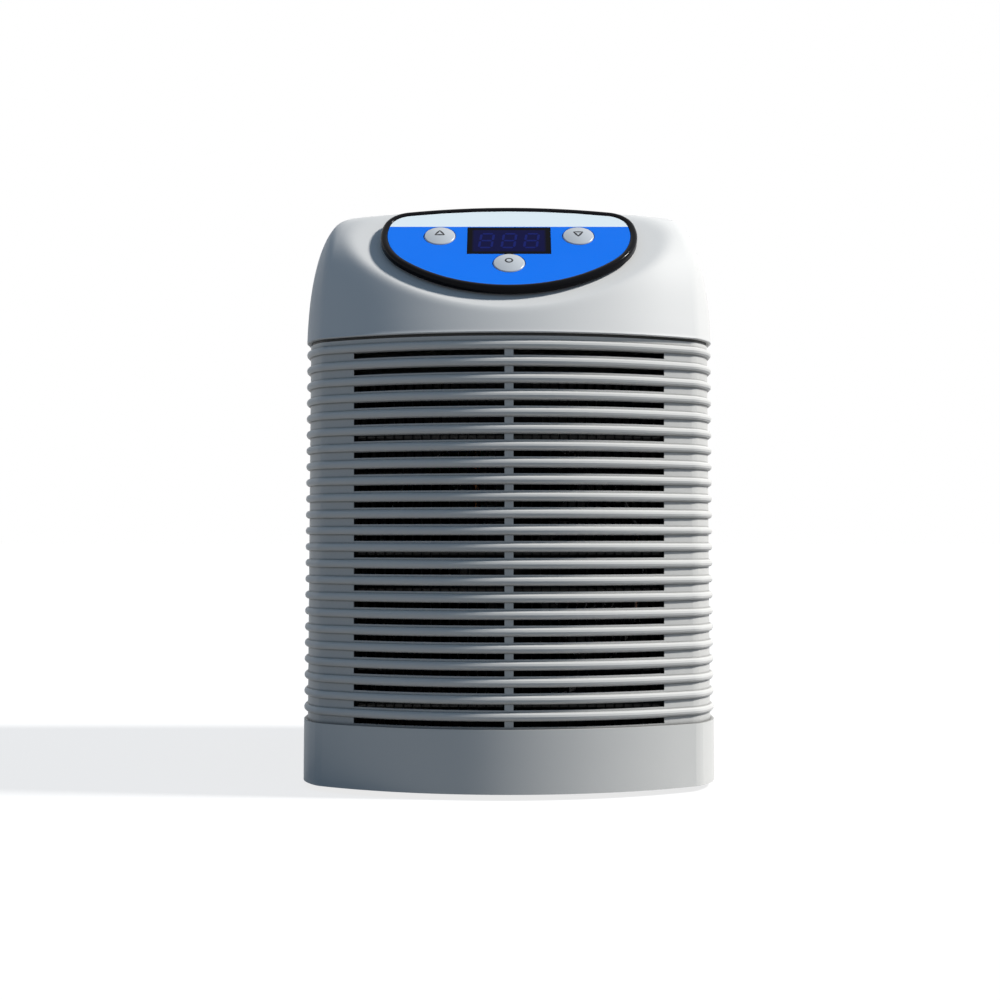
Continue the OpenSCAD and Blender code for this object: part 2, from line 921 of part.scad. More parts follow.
module panel_overlay() {
  color([0.12, 0.45, 0.96])
    on_deck()
      difference() {
        translate([0, 0, overlay_n])
          linear_extrude(height = overlay_t)
            polygon(pod_outline(-rim_w - fit));
        panel_holes();
      }
}

module display_window() {
  color([0.05, 0.05, 0.12])
    on_deck(t = window_t, n = plate_n)
      translate([-window_w / 2, -window_h / 2, 0])
        cube([window_w, window_h, overlay_n + overlay_t - plate_n - window_drop]);
}

module display_module() {
  color([0.12, 0.12, 0.13])
    on_deck(t = window_t, n = board_n + board_t)
      translate([module_rim - window_w / 2, module_rim - window_h / 2, 0])
        cube([window_w - module_rim * 2, window_h - module_rim * 2, plate_n - board_n - board_t]);
}

// Domed key with a flange under the plate and a stem over its switch
module key_at(x, t) {
  top = overlay_n + overlay_t + key_rise;
  dome_r = (pow(key_r, 2) + pow(key_crown, 2)) / (2 * key_crown);
  color([0.80, 0.82, 0.84])
    on_deck(x, t)
      union() {
        translate([0, 0, key_floor])
          cylinder(r = key_r + key_flange_w, h = key_flange);
        intersection() {
          translate([0, 0, key_floor])
            cylinder(r = key_r, h = top + key_crown - key_floor + over);
          translate([0, 0, top + key_crown - dome_r])
            sphere(r = dome_r, $fn = 128);
        }
        translate([0, 0, key_floor - stem_h])
          cylinder(r = stem_r, h = stem_h);
      }
}

module up_key() {
  key_at(-key_x, keys_t);
}

module down_key() {
  key_at(key_x, keys_t);
}

module set_key() {
  key_at(0, set_t);
}

module key_switches() {
  color([0.15, 0.15, 0.16])
    for (p = [[-key_x, keys_t], [key_x, keys_t], [0, set_t]])
      on_deck(p.x, p.y, board_n + board_t)
        union() {
          translate([-switch_w / 2, -switch_w / 2, 0])
            cube([switch_w, switch_w, switch_h - board_t]);
          cylinder(r = stem_r, h = switch_h + plunger_h - board_t);
        }
}

module panel_board() {
  color([0.05, 0.35, 0.15])
    on_deck()
      difference() {
        translate([0, 0, board_n])
          linear_extrude(height = board_t)
            polygon(pod_outline(-board_in));
        both_sides()
          for (p = panel_posts)
            translate([p.x, p.y, board_n - over])
              cylinder(r = pilot_r, h = board_t + over * 2);
      }
}

module panel_screws() {
  color("silver")
    on_deck()
      both_sides()
        for (p = panel_posts)
          translate([p.x, p.y, board_n])
            union() {
              cylinder(r = pilot_r - shaft_play, h = panel_screw_l);
              translate([0, 0, -panel_screw_head_h])
                cylinder(r = panel_screw_head_r, h = panel_screw_head_h);
            }
}

// Condenser and fan

function tube_z(i) = cond_z + (i + 0.5) * tube_step;

// Fin or end plate outline with its tube holes, as width across Y and height up Z
module holed_plate(clearance) {
  difference() {
    square([cond_d, cond_h]);
    for (i = [0:tube_rows - 1])
      for (y = [column_shift, cond_d - column_shift])
        translate([y, tube_z(i) - cond_z])
          circle(r = tube_r + clearance);
  }
}

module plate_at(x, t) {
  translate([x, cond_y, cond_z])
    rotate([90, 0, 90])
      linear_extrude(height = t)
        children();
}

module condenser_fins() {
  pitch = (cond_w - fin_t) / (fin_count - 1);
  color([0.75, 0.76, 0.78])
    in_housing()
      for (i = [0:fin_count - 1])
        plate_at(i * pitch - cond_half, fin_t)
          holed_plate(tube_play);
}

module condenser_end_plates() {
  color([0.65, 0.66, 0.68])
    in_housing()
      both_sides()
        union() {
          plate_at(cond_half, end_plate_t)
            holed_plate(tube_play);
          translate([cond_half, cond_y, tray_t])
            cube([end_plate_t, cond_d, cond_z - tray_t]);
          translate([cond_half - arm_w, cond_y, tray_t])
            cube([arm_w, cond_d, end_plate_t]);
        }
}

// One path from the top to the bottom: bends join the columns on the right, and the rows on
// the left by turns in the rear and the front column
module condenser_tubes() {
  reach = cond_half + end_plate_t + bend_out;
  color([0.72, 0.45, 0.20])
    in_housing()
      union() {
        for (i = [0:tube_rows - 1]) {
          for (y = [tube_front_y, tube_rear_y])
            translate([-reach, y, tube_z(i)])
              rotate([0, 90, 0])
                cylinder(r = tube_r, h = reach * 2);
          translate([reach, (tube_front_y + tube_rear_y) / 2, tube_z(i)])
            return_bend(tube_rear_y - tube_front_y, -90);
        }
        for (i = [0:tube_rows - 2])
          translate([-reach, i % 2 == 0 ? tube_rear_y : tube_front_y, tube_z(i + 0.5)])
            rotate([90, 0, 0])
              return_bend(tube_step, 90);
        for (i = [0, tube_rows - 1])
          translate([-reach - stub_l, tube_front_y, tube_z(i)])
            rotate([0, 90, 0])
              cylinder(r = tube_r, h = stub_l);
      }
}

// Half turn between two tube ends a span apart
module return_bend(span, from) {
  rotate_extrude(angle = 180, start = from)
    translate([span / 2, 0])
      circle(r = tube_r);
}

module fan_shroud() {
  ring_r = rotor_r + ring_play;
  color([0.16, 0.16, 0.17])
    in_housing()
      difference() {
        union() {
          translate([-cond_half, shroud_y, cond_z])
            cube([cond_w, shroud_t, cond_h]);
          translate([0, shroud_y, fan_z])
            rotate([-90, 0, 0])
              cylinder(r = ring_r + ring_t, h = ring_l, $fn = 96);
        }
        translate([0, shroud_y - over, fan_z])
          rotate([-90, 0, 0])
            cylinder(r = ring_r, h = ring_l + over * 2, $fn = 96);
      }
}

// Ring and four arms that carry the motor, with legs down to the shroud
module motor_bracket() {
  leg_l = bracket_y + bracket_t - shroud_y - shroud_t;
  color([0.20, 0.20, 0.21])
    in_housing()
      translate([0, bracket_y, fan_z])
        difference() {
          union() {
            rotate([-90, 0, 0])
              cylinder(r = motor_r, h = bracket_t);
            for (a = [45:90:315])
              rotate([0, a, 0])
                union() {
                  translate([0, 0, -arm_w / 2])
                    cube([leg_r + arm_w, bracket_t, arm_w]);
                  translate([leg_r, bracket_t - leg_l, -arm_w / 2])
                    cube([bracket_ring_w / 2, leg_l, arm_w]);
                }
          }
          translate([0, -over, 0])
            rotate([-90, 0, 0])
              cylinder(r = hub_r / 2, h = bracket_t + over * 2);
        }
}

module fan_motor() {
  color([0.55, 0.56, 0.58])
    in_housing()
      translate([0, motor_y, fan_z])
        rotate([-90, 0, 0])
          difference() {
            union() {
              cylinder(r = motor_r - motor_cap / 2, h = motor_l + motor_cap);
              translate([0, 0, motor_cap / 2])
                cylinder(r = motor_r, h = motor_l - motor_cap);
            }
            translate([0, 0, -over])
              cylinder(r = shaft_r + shaft_play, h = shaft_tail + fit + over);
          }
}

module fan_shaft() {
  color("silver")
    in_housing()
      translate([0, hub_y - fan_nut_h, fan_z])
        rotate([-90, 0, 0])
          cylinder(r = shaft_r, h = motor_y + shaft_tail - hub_y + fan_nut_h);
}

module fan_nut() {
  color("silver")
    in_housing()
      translate([0, hub_y - fan_nut_h, fan_z])
        rotate([-90, 0, 0])
          difference() {
            cylinder(r = fan_nut_r, h = fan_nut_h, $fn = 6);
            translate([0, 0, -over])
              cylinder(r = shaft_r, h = fan_nut_h + over * 2);
          }
}

// Closed section of a blade at a radius: out along one face and back along the other
function blade_section(radius) =
  let (grow = (radius - hub_r) / (rotor_r - hub_r), half = blade_half_angle * (1 - grow / 4))
  concat(
    [for (k = [0:blade_steps]) blade_point(radius, half, k * 2 / blade_steps - 1, -blade_t / 2)],
    [for (k = [blade_steps:-1:0]) blade_point(radius, half, k * 2 / blade_steps - 1, blade_t / 2)]
  );

function blade_point(radius, half, s, side) = [
  radius * cos(half * s),
  radius * sin(half * s),
  blade_depth * (s / 2 + blade_camber_share * (1 - s * s)) + side
];

module fan_rotor() {
  root = hub_r * blade_root_share;
  color([0.10, 0.10, 0.11])
    in_housing()
      translate([0, hub_y, fan_z])
        rotate([-90, 0, 0])
          difference() {
            union() {
              cylinder(r = hub_r, h = hub_l);
              for (b = [0:blade_count - 1])
                rotate([0, 0, 360 * b / blade_count])
                  translate([0, 0, hub_l / 2])
                    loft([for (j = [0:blade_rows]) blade_section(root + (rotor_r - root) * j / blade_rows)],
                      banded = true);
            }
            translate([0, 0, -over])
              cylinder(r = shaft_r, h = hub_l + over * 2);
          }
}

// Compressor

// Turned can with domed ends and a welded seam
function can_section() = concat(
  [[0, 0]],
  [for (a = [0:15:90]) [comp_r - dome_drop + dome_drop * sin(a), dome_drop * (1 - cos(a))]],
  [
    [comp_r, comp_h / 2 - comp_seam / 2],
    [comp_flange_r, comp_h / 2 - comp_seam / 2],
    [comp_flange_r, comp_h / 2 + comp_seam / 2],
    [comp_r, comp_h / 2 + comp_seam / 2]
  ],
  [for (a = [0:15:90]) [comp_r * cos(a), comp_h - dome_drop * 2 + dome_drop * 2 * sin(a)]]
);

module compressor() {
  color([0.05, 0.05, 0.06])
    in_housing()
      translate([comp_x, comp_y, comp_z])
        union() {
          rotate_extrude($fn = 96)
            polygon(can_section());
          for (x = [-stub_off, stub_off])
            translate([x, 0, comp_h - dome_drop * 2])
              cylinder(r = stub_r, h = stub_rise + dome_drop * 2);
        }
}

module at_lugs() {
  for (x = [-lug_half, lug_half])
    for (y = [-lug_half, lug_half])
      translate([comp_x + x, comp_y + y, 0])
        children();
}

module compressor_base() {
  color([0.10, 0.10, 0.11])
    in_housing()
      difference() {
        union() {
          translate([comp_x - lug_half, comp_y - lug_half, comp_plate_z])
            cube([lug_half * 2, lug_half * 2, comp_plate_t]);
          at_lugs()
            translate([0, 0, comp_plate_z])
              cylinder(r = lug_rim, h = comp_plate_t);
        }
        at_lugs()
          translate([0, 0, comp_plate_z - over])
            cylinder(r = stud_hole_r, h = comp_plate_t + over * 2);
      }
}

module compressor_grommets() {
  color([0.08, 0.08, 0.08])
    in_housing()
      at_lugs()
        translate([0, 0, tray_t])
          difference() {
            union() {
              cylinder(r = grommet_r, h = grommet_h);
              cylinder(r = stud_hole_r - shaft_play, h = grommet_h + comp_plate_t);
              translate([0, 0, grommet_h + comp_plate_t])
                cylinder(r = grommet_r - grommet_step, h = comp_plate_t);
            }
            translate([0, 0, -over])
              cylinder(r = stud_r + shaft_play, h = grommet_h * 2 + over * 2);
          }
}

module compressor_studs() {
  nut_z = grommet_h + comp_plate_t * 2;
  color("silver")
    in_housing()
      at_lugs()
        translate([0, 0, tray_t])
          union() {
            cylinder(r = stud_r, h = nut_z + washer_h + stud_nut_h + stud_tail);
            translate([0, 0, nut_z])
              cylinder(r = stud_r * 2, h = washer_h);
            translate([0, 0, nut_z + washer_h])
              cylinder(r = stud_r * stud_nut_share, h = stud_nut_h, $fn = 6);
          }
}

module terminal_cover() {
  color([0.12, 0.12, 0.13])
    in_housing()
      difference() {
        translate([comp_x - terminal_w / 2, comp_y, terminal_z])
          cube([terminal_w, comp_flange_r + terminal_d, terminal_h]);
        translate([comp_x, comp_y, terminal_z - over])
          cylinder(r = comp_flange_r + fit, h = terminal_h + over * 2);
      }
}

// Exchanger

// Rear face of a port's flange, which the seal holds off the leaning wall
function port_seat(z) = body_d - wall - lean(z + port_flange_r) - port_seal_t;

module exchanger_vessel() {
  color([0.82, 0.84, 0.85])
    in_housing()
      translate([vessel_x, vessel_y, tray_t])
        difference() {
          union() {
            cylinder(r = vessel_out_r, h = vessel_h, $fn = 96);
            translate([0, 0, vessel_h - flange_t])
              cylinder(r = vessel_flange_r, h = flange_t, $fn = 96);
            for (z = [inlet_z, outlet_z])
              translate([0, 0, z - tray_t])
                rotate([-90, 0, 0])
                  cylinder(r = boss_r, h = port_seat(z) - port_flange_t - vessel_y);
          }
          translate([0, 0, vessel_t])
            cylinder(r = vessel_r, h = vessel_h, $fn = 96);
          for (z = [inlet_z, outlet_z])
            translate([0, 0, z - tray_t])
              rotate([-90, 0, 0])
                cylinder(r = port_bore_r, h = body_d - vessel_y);
          at_lid_screws()
            translate([0, 0, vessel_h - flange_t - over])
              cylinder(r = lid_screw_r + fit, h = flange_t + over * 2);
        }
}

module at_lid_screws() {
  for (i = [0:lid_screw_count - 1])
    rotate([0, 0, 360 * (i + 0.5) / lid_screw_count])
      translate([vessel_flange_r - flange_w / 2, 0, 0])
        children();
}

module at_lid() {
  in_housing()
    translate([vessel_x, vessel_y, lid_z])
      children();
}

module exchanger_lid() {
  color([0.20, 0.20, 0.21])
    at_lid()
      difference() {
        cylinder(r = vessel_flange_r, h = lid_t, $fn = 96);
        translate([0, 0, -over])
          difference() {
            cylinder(r = vessel_out_r + fit, h = seal_t + over);
            translate([0, 0, -over])
              cylinder(r = vessel_r - fit, h = seal_t + over * 3);
          }
        for (p = [[0, 0], [coil_r, coil_tube_r]])
          translate([p.x, p.y, -over])
            cylinder(r = coil_tube_r + fit, h = lid_t + over * 2);
        translate([-coil_r, 0, -over])
          cylinder(r = probe_r + fit, h = lid_t + over * 2);
        at_lid_screws()
          translate([0, 0, -over])
            cylinder(r = lid_screw_r + fit, h = lid_t + over * 2);
      }
}

module lid_seal() {
  color([0.05, 0.05, 0.05])
    at_lid()
      difference() {
        cylinder(r = vessel_out_r, h = seal_t, $fn = 96);
        translate([0, 0, -over])
          cylinder(r = vessel_r, h = seal_t + over * 2, $fn = 96);
      }
}

module lid_screws() {
  color("silver")
    at_lid()
      at_lid_screws()
        union() {
          translate([0, 0, -flange_t - lid_screw_head_h])
            cylinder(r = lid_screw_r, h = flange_t + lid_t + lid_screw_head_h);
          translate([0, 0, lid_t])
            cylinder(r = lid_screw_head_r, h = lid_screw_head_h);
          translate([0, 0, -flange_t - lid_screw_head_h])
            cylinder(r = lid_screw_head_r, h = lid_screw_head_h, $fn = 6);
        }
}

// Coil of tube: up the middle from the bottom of the helix, and out of its top
module titanium_coil() {
  turns = [for (i = [0:coil_turns * coil_facets])
    [coil_r * cos(360 * i / coil_facets), coil_r * sin(360 * i / coil_facets),
      coil_low + coil_step * i / coil_facets]];
  color([0.60, 0.58, 0.55])
    in_housing()
      translate([vessel_x, vessel_y, 0])
        tube(concat(
          bent_route([[0, 0, coil_top], [0, 0, coil_low], [coil_r / 2, -coil_r / 2, coil_low]],
            coil_tube_r * 2),
          turns,
          [[coil_r, coil_tube_r, turns[len(turns) - 1].z + coil_tube_r],
            [coil_r, coil_tube_r, coil_top]]
        ), coil_tube_r, coil_sides);
}

module temperature_probe() {
  color([0.70, 0.71, 0.73])
    at_lid()
      translate([-coil_r, 0, 0])
        union() {
          translate([0, 0, lid_t - probe_l])
            cylinder(r = probe_r, h = probe_l);
          translate([0, 0, lid_t])
            cylinder(r = probe_head_r, h = probe_head_h, $fn = 6);
        }
}

// Water ports

// Tail in the vessel's boss, flange inside the rear panel, thread and hose spigot behind it
module port_at(z) {
  seat = port_seat(z);
  reach = body_d + nut_h - seat + port_flange_t;
  color([0.15, 0.15, 0.16])
    in_housing()
      translate([vessel_x, seat - port_flange_t, z])
        rotate([-90, 0, 0])
          difference() {
            union() {
              translate([0, 0, -boss_tail])
                cylinder(r = thread_r, h = boss_tail + reach);
              cylinder(r = port_flange_r, h = port_flange_t);
              cylinder(r = spigot_r, h = reach + spigot_l - spigot_chamfer);
              translate([0, 0, reach + spigot_l - spigot_chamfer])
                cylinder(r1 = spigot_r, r2 = spigot_r - spigot_chamfer, h = spigot_chamfer);
            }
            translate([0, 0, -boss_tail - over])
              cylinder(r = spigot_bore_r, h = body_d);
          }
}

module water_inlet_port() {
  port_at(inlet_z);
}

module water_outlet_port() {
  port_at(outlet_z);
}

module port_seals() {
  color([0.05, 0.05, 0.05])
    in_housing()
      for (z = [inlet_z, outlet_z])
        translate([vessel_x, port_seat(z), z])
          rotate([-90, 0, 0])
            difference() {
              cylinder(r = port_flange_r, h = port_seal_t);
              translate([0, 0, -over])
                cylinder(r = port_bore_r, h = port_seal_t + over * 2);
            }
}

module port_nuts() {
  color([0.15, 0.15, 0.16])
    in_housing()
      for (z = [inlet_z, outlet_z])
        translate([vessel_x, body_d - lean(z - nut_r), z])
          rotate([-90, 0, 0])
            difference() {
              cylinder(r = nut_r, h = nut_h - spigot_chamfer, $fn = 6);
              translate([0, 0, -over])
                cylinder(r = port_bore_r, h = nut_h + over * 2);
            }
}

// Refrigerant lines

module filter_drier() {
  color([0.72, 0.45, 0.20])
    in_housing()
      translate([drier_x, drier_y, drier_z])
        union() {
          cylinder(r = drier_neck_r, h = drier_l);
          translate([0, 0, drier_neck])
            cylinder(r1 = drier_neck_r, r2 = drier_r, h = drier_neck);
          translate([0, 0, drier_neck * 2])
            cylinder(r = drier_r, h = drier_l - drier_neck * 4);
          translate([0, 0, drier_l - drier_neck * 2])
            cylinder(r1 = drier_r, r2 = drier_neck_r, h = drier_neck);
        }
}

// Strap from the tray up to an open ring round the drier
module drier_clip() {
  ring_z = drier_z + drier_l / 2;
  color("silver")
    in_housing()
      union() {
        translate([drier_x, drier_y, ring_z])
          difference() {
            cylinder(r = drier_r + clip_t + shaft_play, h = clip_h);
            translate([0, 0, -over])
              cylinder(r = drier_r + shaft_play, h = clip_h + over * 2);
            translate([-drier_r * 2, -drier_r / 2, -over])
              cube([drier_r * 2, drier_r, clip_h + over * 2]);
          }
        translate([drier_x + drier_r + shaft_play + clip_t / 2, drier_y - clip_h / 2, tray_t])
          cube([clip_t, clip_h, ring_z + clip_h - tray_t]);
        translate([drier_x + drier_r + shaft_play + clip_t / 2 - clip_foot, drier_y - clip_h / 2, tray_t])
          cube([clip_foot, clip_h, clip_t]);
      }
}

module discharge_line() {
  z = tube_z(tube_rows - 1);
  color([0.72, 0.45, 0.20])
    in_housing()
      tube(bent_route([
        [comp_x - stub_off, comp_y, stub_z],
        [comp_x - stub_off, comp_y, line_high_z],
        [-wall_run_x, line_cross_y, line_high_z],
        [-wall_run_x, tube_front_y, line_high_z],
        [-wall_run_x, tube_front_y, z],
        [-(cond_half + end_plate_t + bend_out + stub_l), tube_front_y, z]
      ], line_bend / 4), line_r, pipe_sides);
}

module liquid_line() {
  z = tube_z(0);
  color([0.72, 0.45, 0.20])
    in_housing()
      tube(bent_route([
        [-(cond_half + end_plate_t + bend_out + stub_l), tube_front_y, z],
        [-wall_run_x, tube_front_y, z],
        [-wall_run_x, tube_front_y, line_low_z],
        [-wall_run_x, line_cross_y, line_low_z],
        [drier_x, drier_y - line_bend * 2, line_low_z],
        [drier_x, drier_y, line_low_z],
        [drier_x, drier_y, drier_z]
      ], line_bend / 4), line_r, pipe_sides);
}

module capillary_tube() {
  color([0.72, 0.45, 0.20])
    in_housing()
      tube(bent_route([
        [drier_x, drier_y, drier_z + drier_l],
        [drier_x, drier_y, line_run_z],
        [vessel_x + coil_r, vessel_y + coil_tube_r, line_run_z],
        [vessel_x + coil_r, vessel_y + coil_tube_r, coil_top]
      ], line_bend), capillary_r, pipe_sides);
}

module suction_line() {
  color([0.72, 0.45, 0.20])
    in_housing()
      tube(bent_route([
        [vessel_x, vessel_y, coil_top],
        [vessel_x, vessel_y, line_run_z - line_bend],
        [comp_x + stub_off, comp_y, line_run_z - line_bend],
        [comp_x + stub_off, comp_y, stub_z]
      ], line_bend), line_r, pipe_sides);
}

// Power inlet and boards

module power_inlet() {
  color([0.05, 0.05, 0.05])
    in_housing()
      translate([power_x, power_y, power_z])
        difference() {
          union() {
            translate([-power_w / 2, -power_deep, -power_h / 2])
              cube([power_w, power_deep, power_h]);
            translate([-power_flange_w / 2, 0, -power_flange_h / 2])
              cube([power_flange_w, power_flange_t, power_flange_h]);
          }
          translate([-socket_w / 2, power_flange_t - socket_deep, -socket_h / 2])
            cube([socket_w, socket_deep + over, socket_h]);
          for (x = [-ear_hole_x, ear_hole_x])
            translate([x, -over, 0])
              rotate([-90, 0, 0])
                cylinder(r = ear_hole_r, h = power_flange_t + over * 2);
        }
}

module inlet_pins() {
  floor_y = power_y + power_flange_t - socket_deep;
  color("silver")
    in_housing()
      for (p = [[-pin_off, 0], [0, pin_rise], [pin_off, 0]])
        translate([power_x + p.x - pin_t / 2, floor_y, power_z + p.y])
          cube([pin_t, pin_l, pin_h]);
}

module control_board() {
  color([0.05, 0.35, 0.15])
    in_housing()
      difference() {
        translate([control_x - control_w / 2, board_y, control_z - control_h / 2])
          cube([control_w, board_t, control_h]);
        at_board_corners()
          translate([0, -over, 0])
            rotate([-90, 0, 0])
              cylinder(r = board_screw_r + fit, h = board_t + over * 2);
      }
}

module board_screws() {
  color("silver")
    in_housing()
      at_board_corners()
        rotate([-90, 0, 0])
            union() {
              translate([0, 0, -board_screw_head_h])
                cylinder(r = board_screw_head_r, h = board_screw_head_h);
              cylinder(r = board_screw_r, h = board_screw_l);
            }
}

module transformer() {
  color([0.45, 0.32, 0.12])
    in_housing()
      union() {
        translate([control_x - transformer_w, board_y - transformer_d, control_z - transformer_h / 2])
          cube([transformer_w, transformer_d, transformer_h]);
        translate([control_x - transformer_w * 3 / 4, board_y - transformer_d - winding_d,
          control_z - transformer_h / 3])
          cube([transformer_w / 2, winding_d, transformer_h * 2 / 3]);
      }
}

module relay() {
  color([0.10, 0.25, 0.60])
    in_housing()
      translate([control_x + relay_w / 2, board_y - relay_d, control_z - relay_h / 2])
        cube([relay_w, relay_d, relay_h]);
}

front_housing();
rear_panel();
top_cover();
base_tray();
feet();
housing_screws();
panel_bezel();
panel_plate();
panel_overlay();
display_window();
display_module();
up_key();
down_key();
set_key();
key_switches();
panel_board();
panel_screws();
condenser_fins();
condenser_tubes();
condenser_end_plates();
fan_shroud();
motor_bracket();
fan_motor();
fan_shaft();
fan_rotor();
fan_nut();
compressor();
compressor_base();
compressor_grommets();
compressor_studs();
terminal_cover();
exchanger_vessel();
exchanger_lid();
lid_seal();
lid_screws();
titanium_coil();
water_inlet_port();
water_outlet_port();
port_seals();
port_nuts();
filter_drier();
drier_clip();
capillary_tube();
discharge_line();
liquid_line();
suction_line();
temperature_probe();
power_inlet();
inlet_pins();
control_board();
transformer();
relay();
board_screws();
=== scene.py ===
"""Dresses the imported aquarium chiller: moulded shells, glossy panel rim, printed film, domed keys
and the machinery behind the louvres, on a pale floor in soft light."""

import math

import bpy
import numpy as np
from bpy.props import FloatProperty, FloatVectorProperty, IntProperty, PointerProperty
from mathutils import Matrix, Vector


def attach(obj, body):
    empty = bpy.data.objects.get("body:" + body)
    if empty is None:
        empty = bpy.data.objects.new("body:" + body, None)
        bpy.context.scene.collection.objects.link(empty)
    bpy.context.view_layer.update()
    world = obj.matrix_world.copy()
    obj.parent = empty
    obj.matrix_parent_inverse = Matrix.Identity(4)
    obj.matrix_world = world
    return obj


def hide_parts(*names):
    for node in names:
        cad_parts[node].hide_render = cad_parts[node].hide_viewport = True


bl_info = {
    "name": "Aquarium chiller finishes",
    "version": (1, 0, 0),
    "blender": (4, 5, 0),
    "location": "View3D > Sidebar > Chiller",
    "description": "Builds the visible surfaces and finishes of an aquarium chiller",
    "category": "Object",
}

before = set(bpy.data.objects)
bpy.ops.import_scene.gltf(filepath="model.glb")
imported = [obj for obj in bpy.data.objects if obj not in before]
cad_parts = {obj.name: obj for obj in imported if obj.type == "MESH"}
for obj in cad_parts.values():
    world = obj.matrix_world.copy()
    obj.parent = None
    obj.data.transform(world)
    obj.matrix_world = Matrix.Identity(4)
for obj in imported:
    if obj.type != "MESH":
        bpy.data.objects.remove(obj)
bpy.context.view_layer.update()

PRINT_EDGE = 0.0001  # half the softness of a printed or shaded edge, in metres
UPRIGHT_LINES = (2400.0, 2400.0, 60.0)  # scale of lines that are drawn along z
DUST_COVER = 0.45  # how much thick dust hides of the tone under it
RIB_SHADE_TINT, GROOVE_SHADE_TINT = 0.10, 0.05  # share of the tone that is left in the painted shade between ribs and in the painted shade of the groove under the cover's lip
PLASTIC_SWING, FILM_SWING = (0.965, 1.03), (0.90, 1.08)  # slow change of tone over a piece
POD_TURNS = (0.0, 45.0, 105.0, 170.0, 180.0)  # degrees where the panel outline's arcs meet
UPRIGHT_FILL, LEVEL_FILL = 0.94, 0.90  # share of its room that a bar of a digit fills
TRIANGLE_SIDE, TRIANGLE_TIP = 0.62, 1.12  # least and greatest reach of a triangle, in symbol radii
TRIANGLE_LINE = 0.625  # half the width of its line, in symbol lines
RING_RADIUS, RING_LINE = 0.8, 0.5  # the same for a ring
SHARP_ANGLE = 32.0  # degrees over which an edge is drawn sharp
WHITE = (1.0, 1.0, 1.0, 1.0)


def length(name, default, description, low=0.0, high=1.0):
    """A size in metres with a name and a description."""
    return FloatProperty(name=name, description=description, default=default, min=low, max=high,
                         unit="LENGTH", subtype="DISTANCE", precision=5)


def angle(name, default, description):
    """An angle given in degrees and kept in radians."""
    return FloatProperty(name=name, description=description, default=math.radians(default),
                         min=0.0, max=math.pi, subtype="ANGLE")


def colour(name, default, description):
    """A plain colour with a name and a description."""
    return FloatVectorProperty(name=name, description=description, default=default, size=3,
                               min=0.0, max=1.0, subtype="COLOR")


def number(name, default, description, low, high):
    """A plain number between two limits."""
    return FloatProperty(name=name, description=description, default=default, min=low, max=high)


def count(name, default, description, low, high):
    """A whole number between two limits."""
    return IntProperty(name=name, description=description, default=default, min=low, max=high)


class ChillerCoverSizes(bpy.types.PropertyGroup):
    """Sizes of the cover: the CAD source's, but for the lower deck and the leaning front."""

    half_width: length("Half width", 0.110, "Half the width across the skirt")
    depth: length("Depth", 0.330, "From the front bow to the rear face")
    front_y: length("Front", -0.1825, "Where the front bow lies", -1.0, 0.0)
    foot: length("Foot height", 0.003, "Height of the feet under the skirt")
    front_radius: length("Front radius", 0.165, "Plan radius of the bowed front")
    corner_radius: length("Corner radius", 0.016, "Plan radius of the front corners")
    rear_radius: length("Rear radius", 0.014, "Plan radius of the rear corners")
    front_turn: angle("Front turn", 36.0, "Plan angle where the front turns into a corner")
    side_turn: angle("Side turn", 58.0, "Plan angle where a corner turns into the side")
    draft: length("Draft", 0.002, "Inward lean of the housing at the cover's lip")
    wall: length("Wall", 0.0024, "Wall of the cover")
    lip_z: length("Lip height", 0.23175, "Height of the cover's lip over the skirt's foot")
    neck: length("Neck", 0.004, "Height of the housing's neck over the lip")
    ledge: length("Ledge", 0.0032, "Width of the ledge that sits on the neck")
    ledge_height: length("Ledge height", 0.002, "Height of the ledge")
    dome_start: length("Upright rim", 0.00425, "Upright part of the cover over its lip")
    dome_height: length("Dome height", 0.069, "Height of the dome over its upright rim")
    shoulder_side: length("Side shoulder", 0.0215, "Sideways reach of each shoulder")
    shoulder_front: length("Front shoulder", 0.063, "Backward reach of the front shoulder")
    shoulder_ease: number("Shoulder ease", 1.35, "How late the front shoulder draws back", 1.0, 3.0)
    shoulder_rear: length("Rear shoulder", 0.014, "Forward reach of the rear shoulder")
    corner_growth: length("Corner growth", 0.006, "Growth of the front corners to the top")
    rear_growth: length("Rear corner growth", 0.008, "Growth of the rear corners to the top")
    deck_angle: angle("Deck slope", 42.5, "Slope of the deck from the horizontal")
    fold_rise: length("Fold rise", 0.01075, "Height of the deck's lower fold over the lip")
    deck_drop: length("Deck drop", 0.0016, "How far the seen deck lies under the panel's seat")
    front_lean: angle("Front lean", 19.0, "Backward lean of the cover's front below the deck")
    lean_height: length("Lean height", 0.040, "Height over the lip that the lean reaches")
    lean_soft: length("Lean softness", 0.030, "Softness of the lean's upper end")
    fold_soft: length("Fold softness", 0.0022, "Softness of the fold between deck and front")
    crease_soft: length("Crease softness", 0.0025, "Softness of the crease at the flat top")
    rounding: length("Lip rounding", 0.0005, "Rounding of the lip's outer edge")
    groove: length("Groove", 0.0015, "Height of the open groove under the lip")
    inner_start: angle("Inner start", 7.0, "Roll where the inner shell leaves the ledge")
    cut_below: length("Cut below", 0.012, "Reach of the panel's hole under the deck")
    cut_above: length("Cut above", 0.008, "Reach of its cutter over the deck")
    weld: length("Weld", 0.000002, "Points nearer than this are merged")


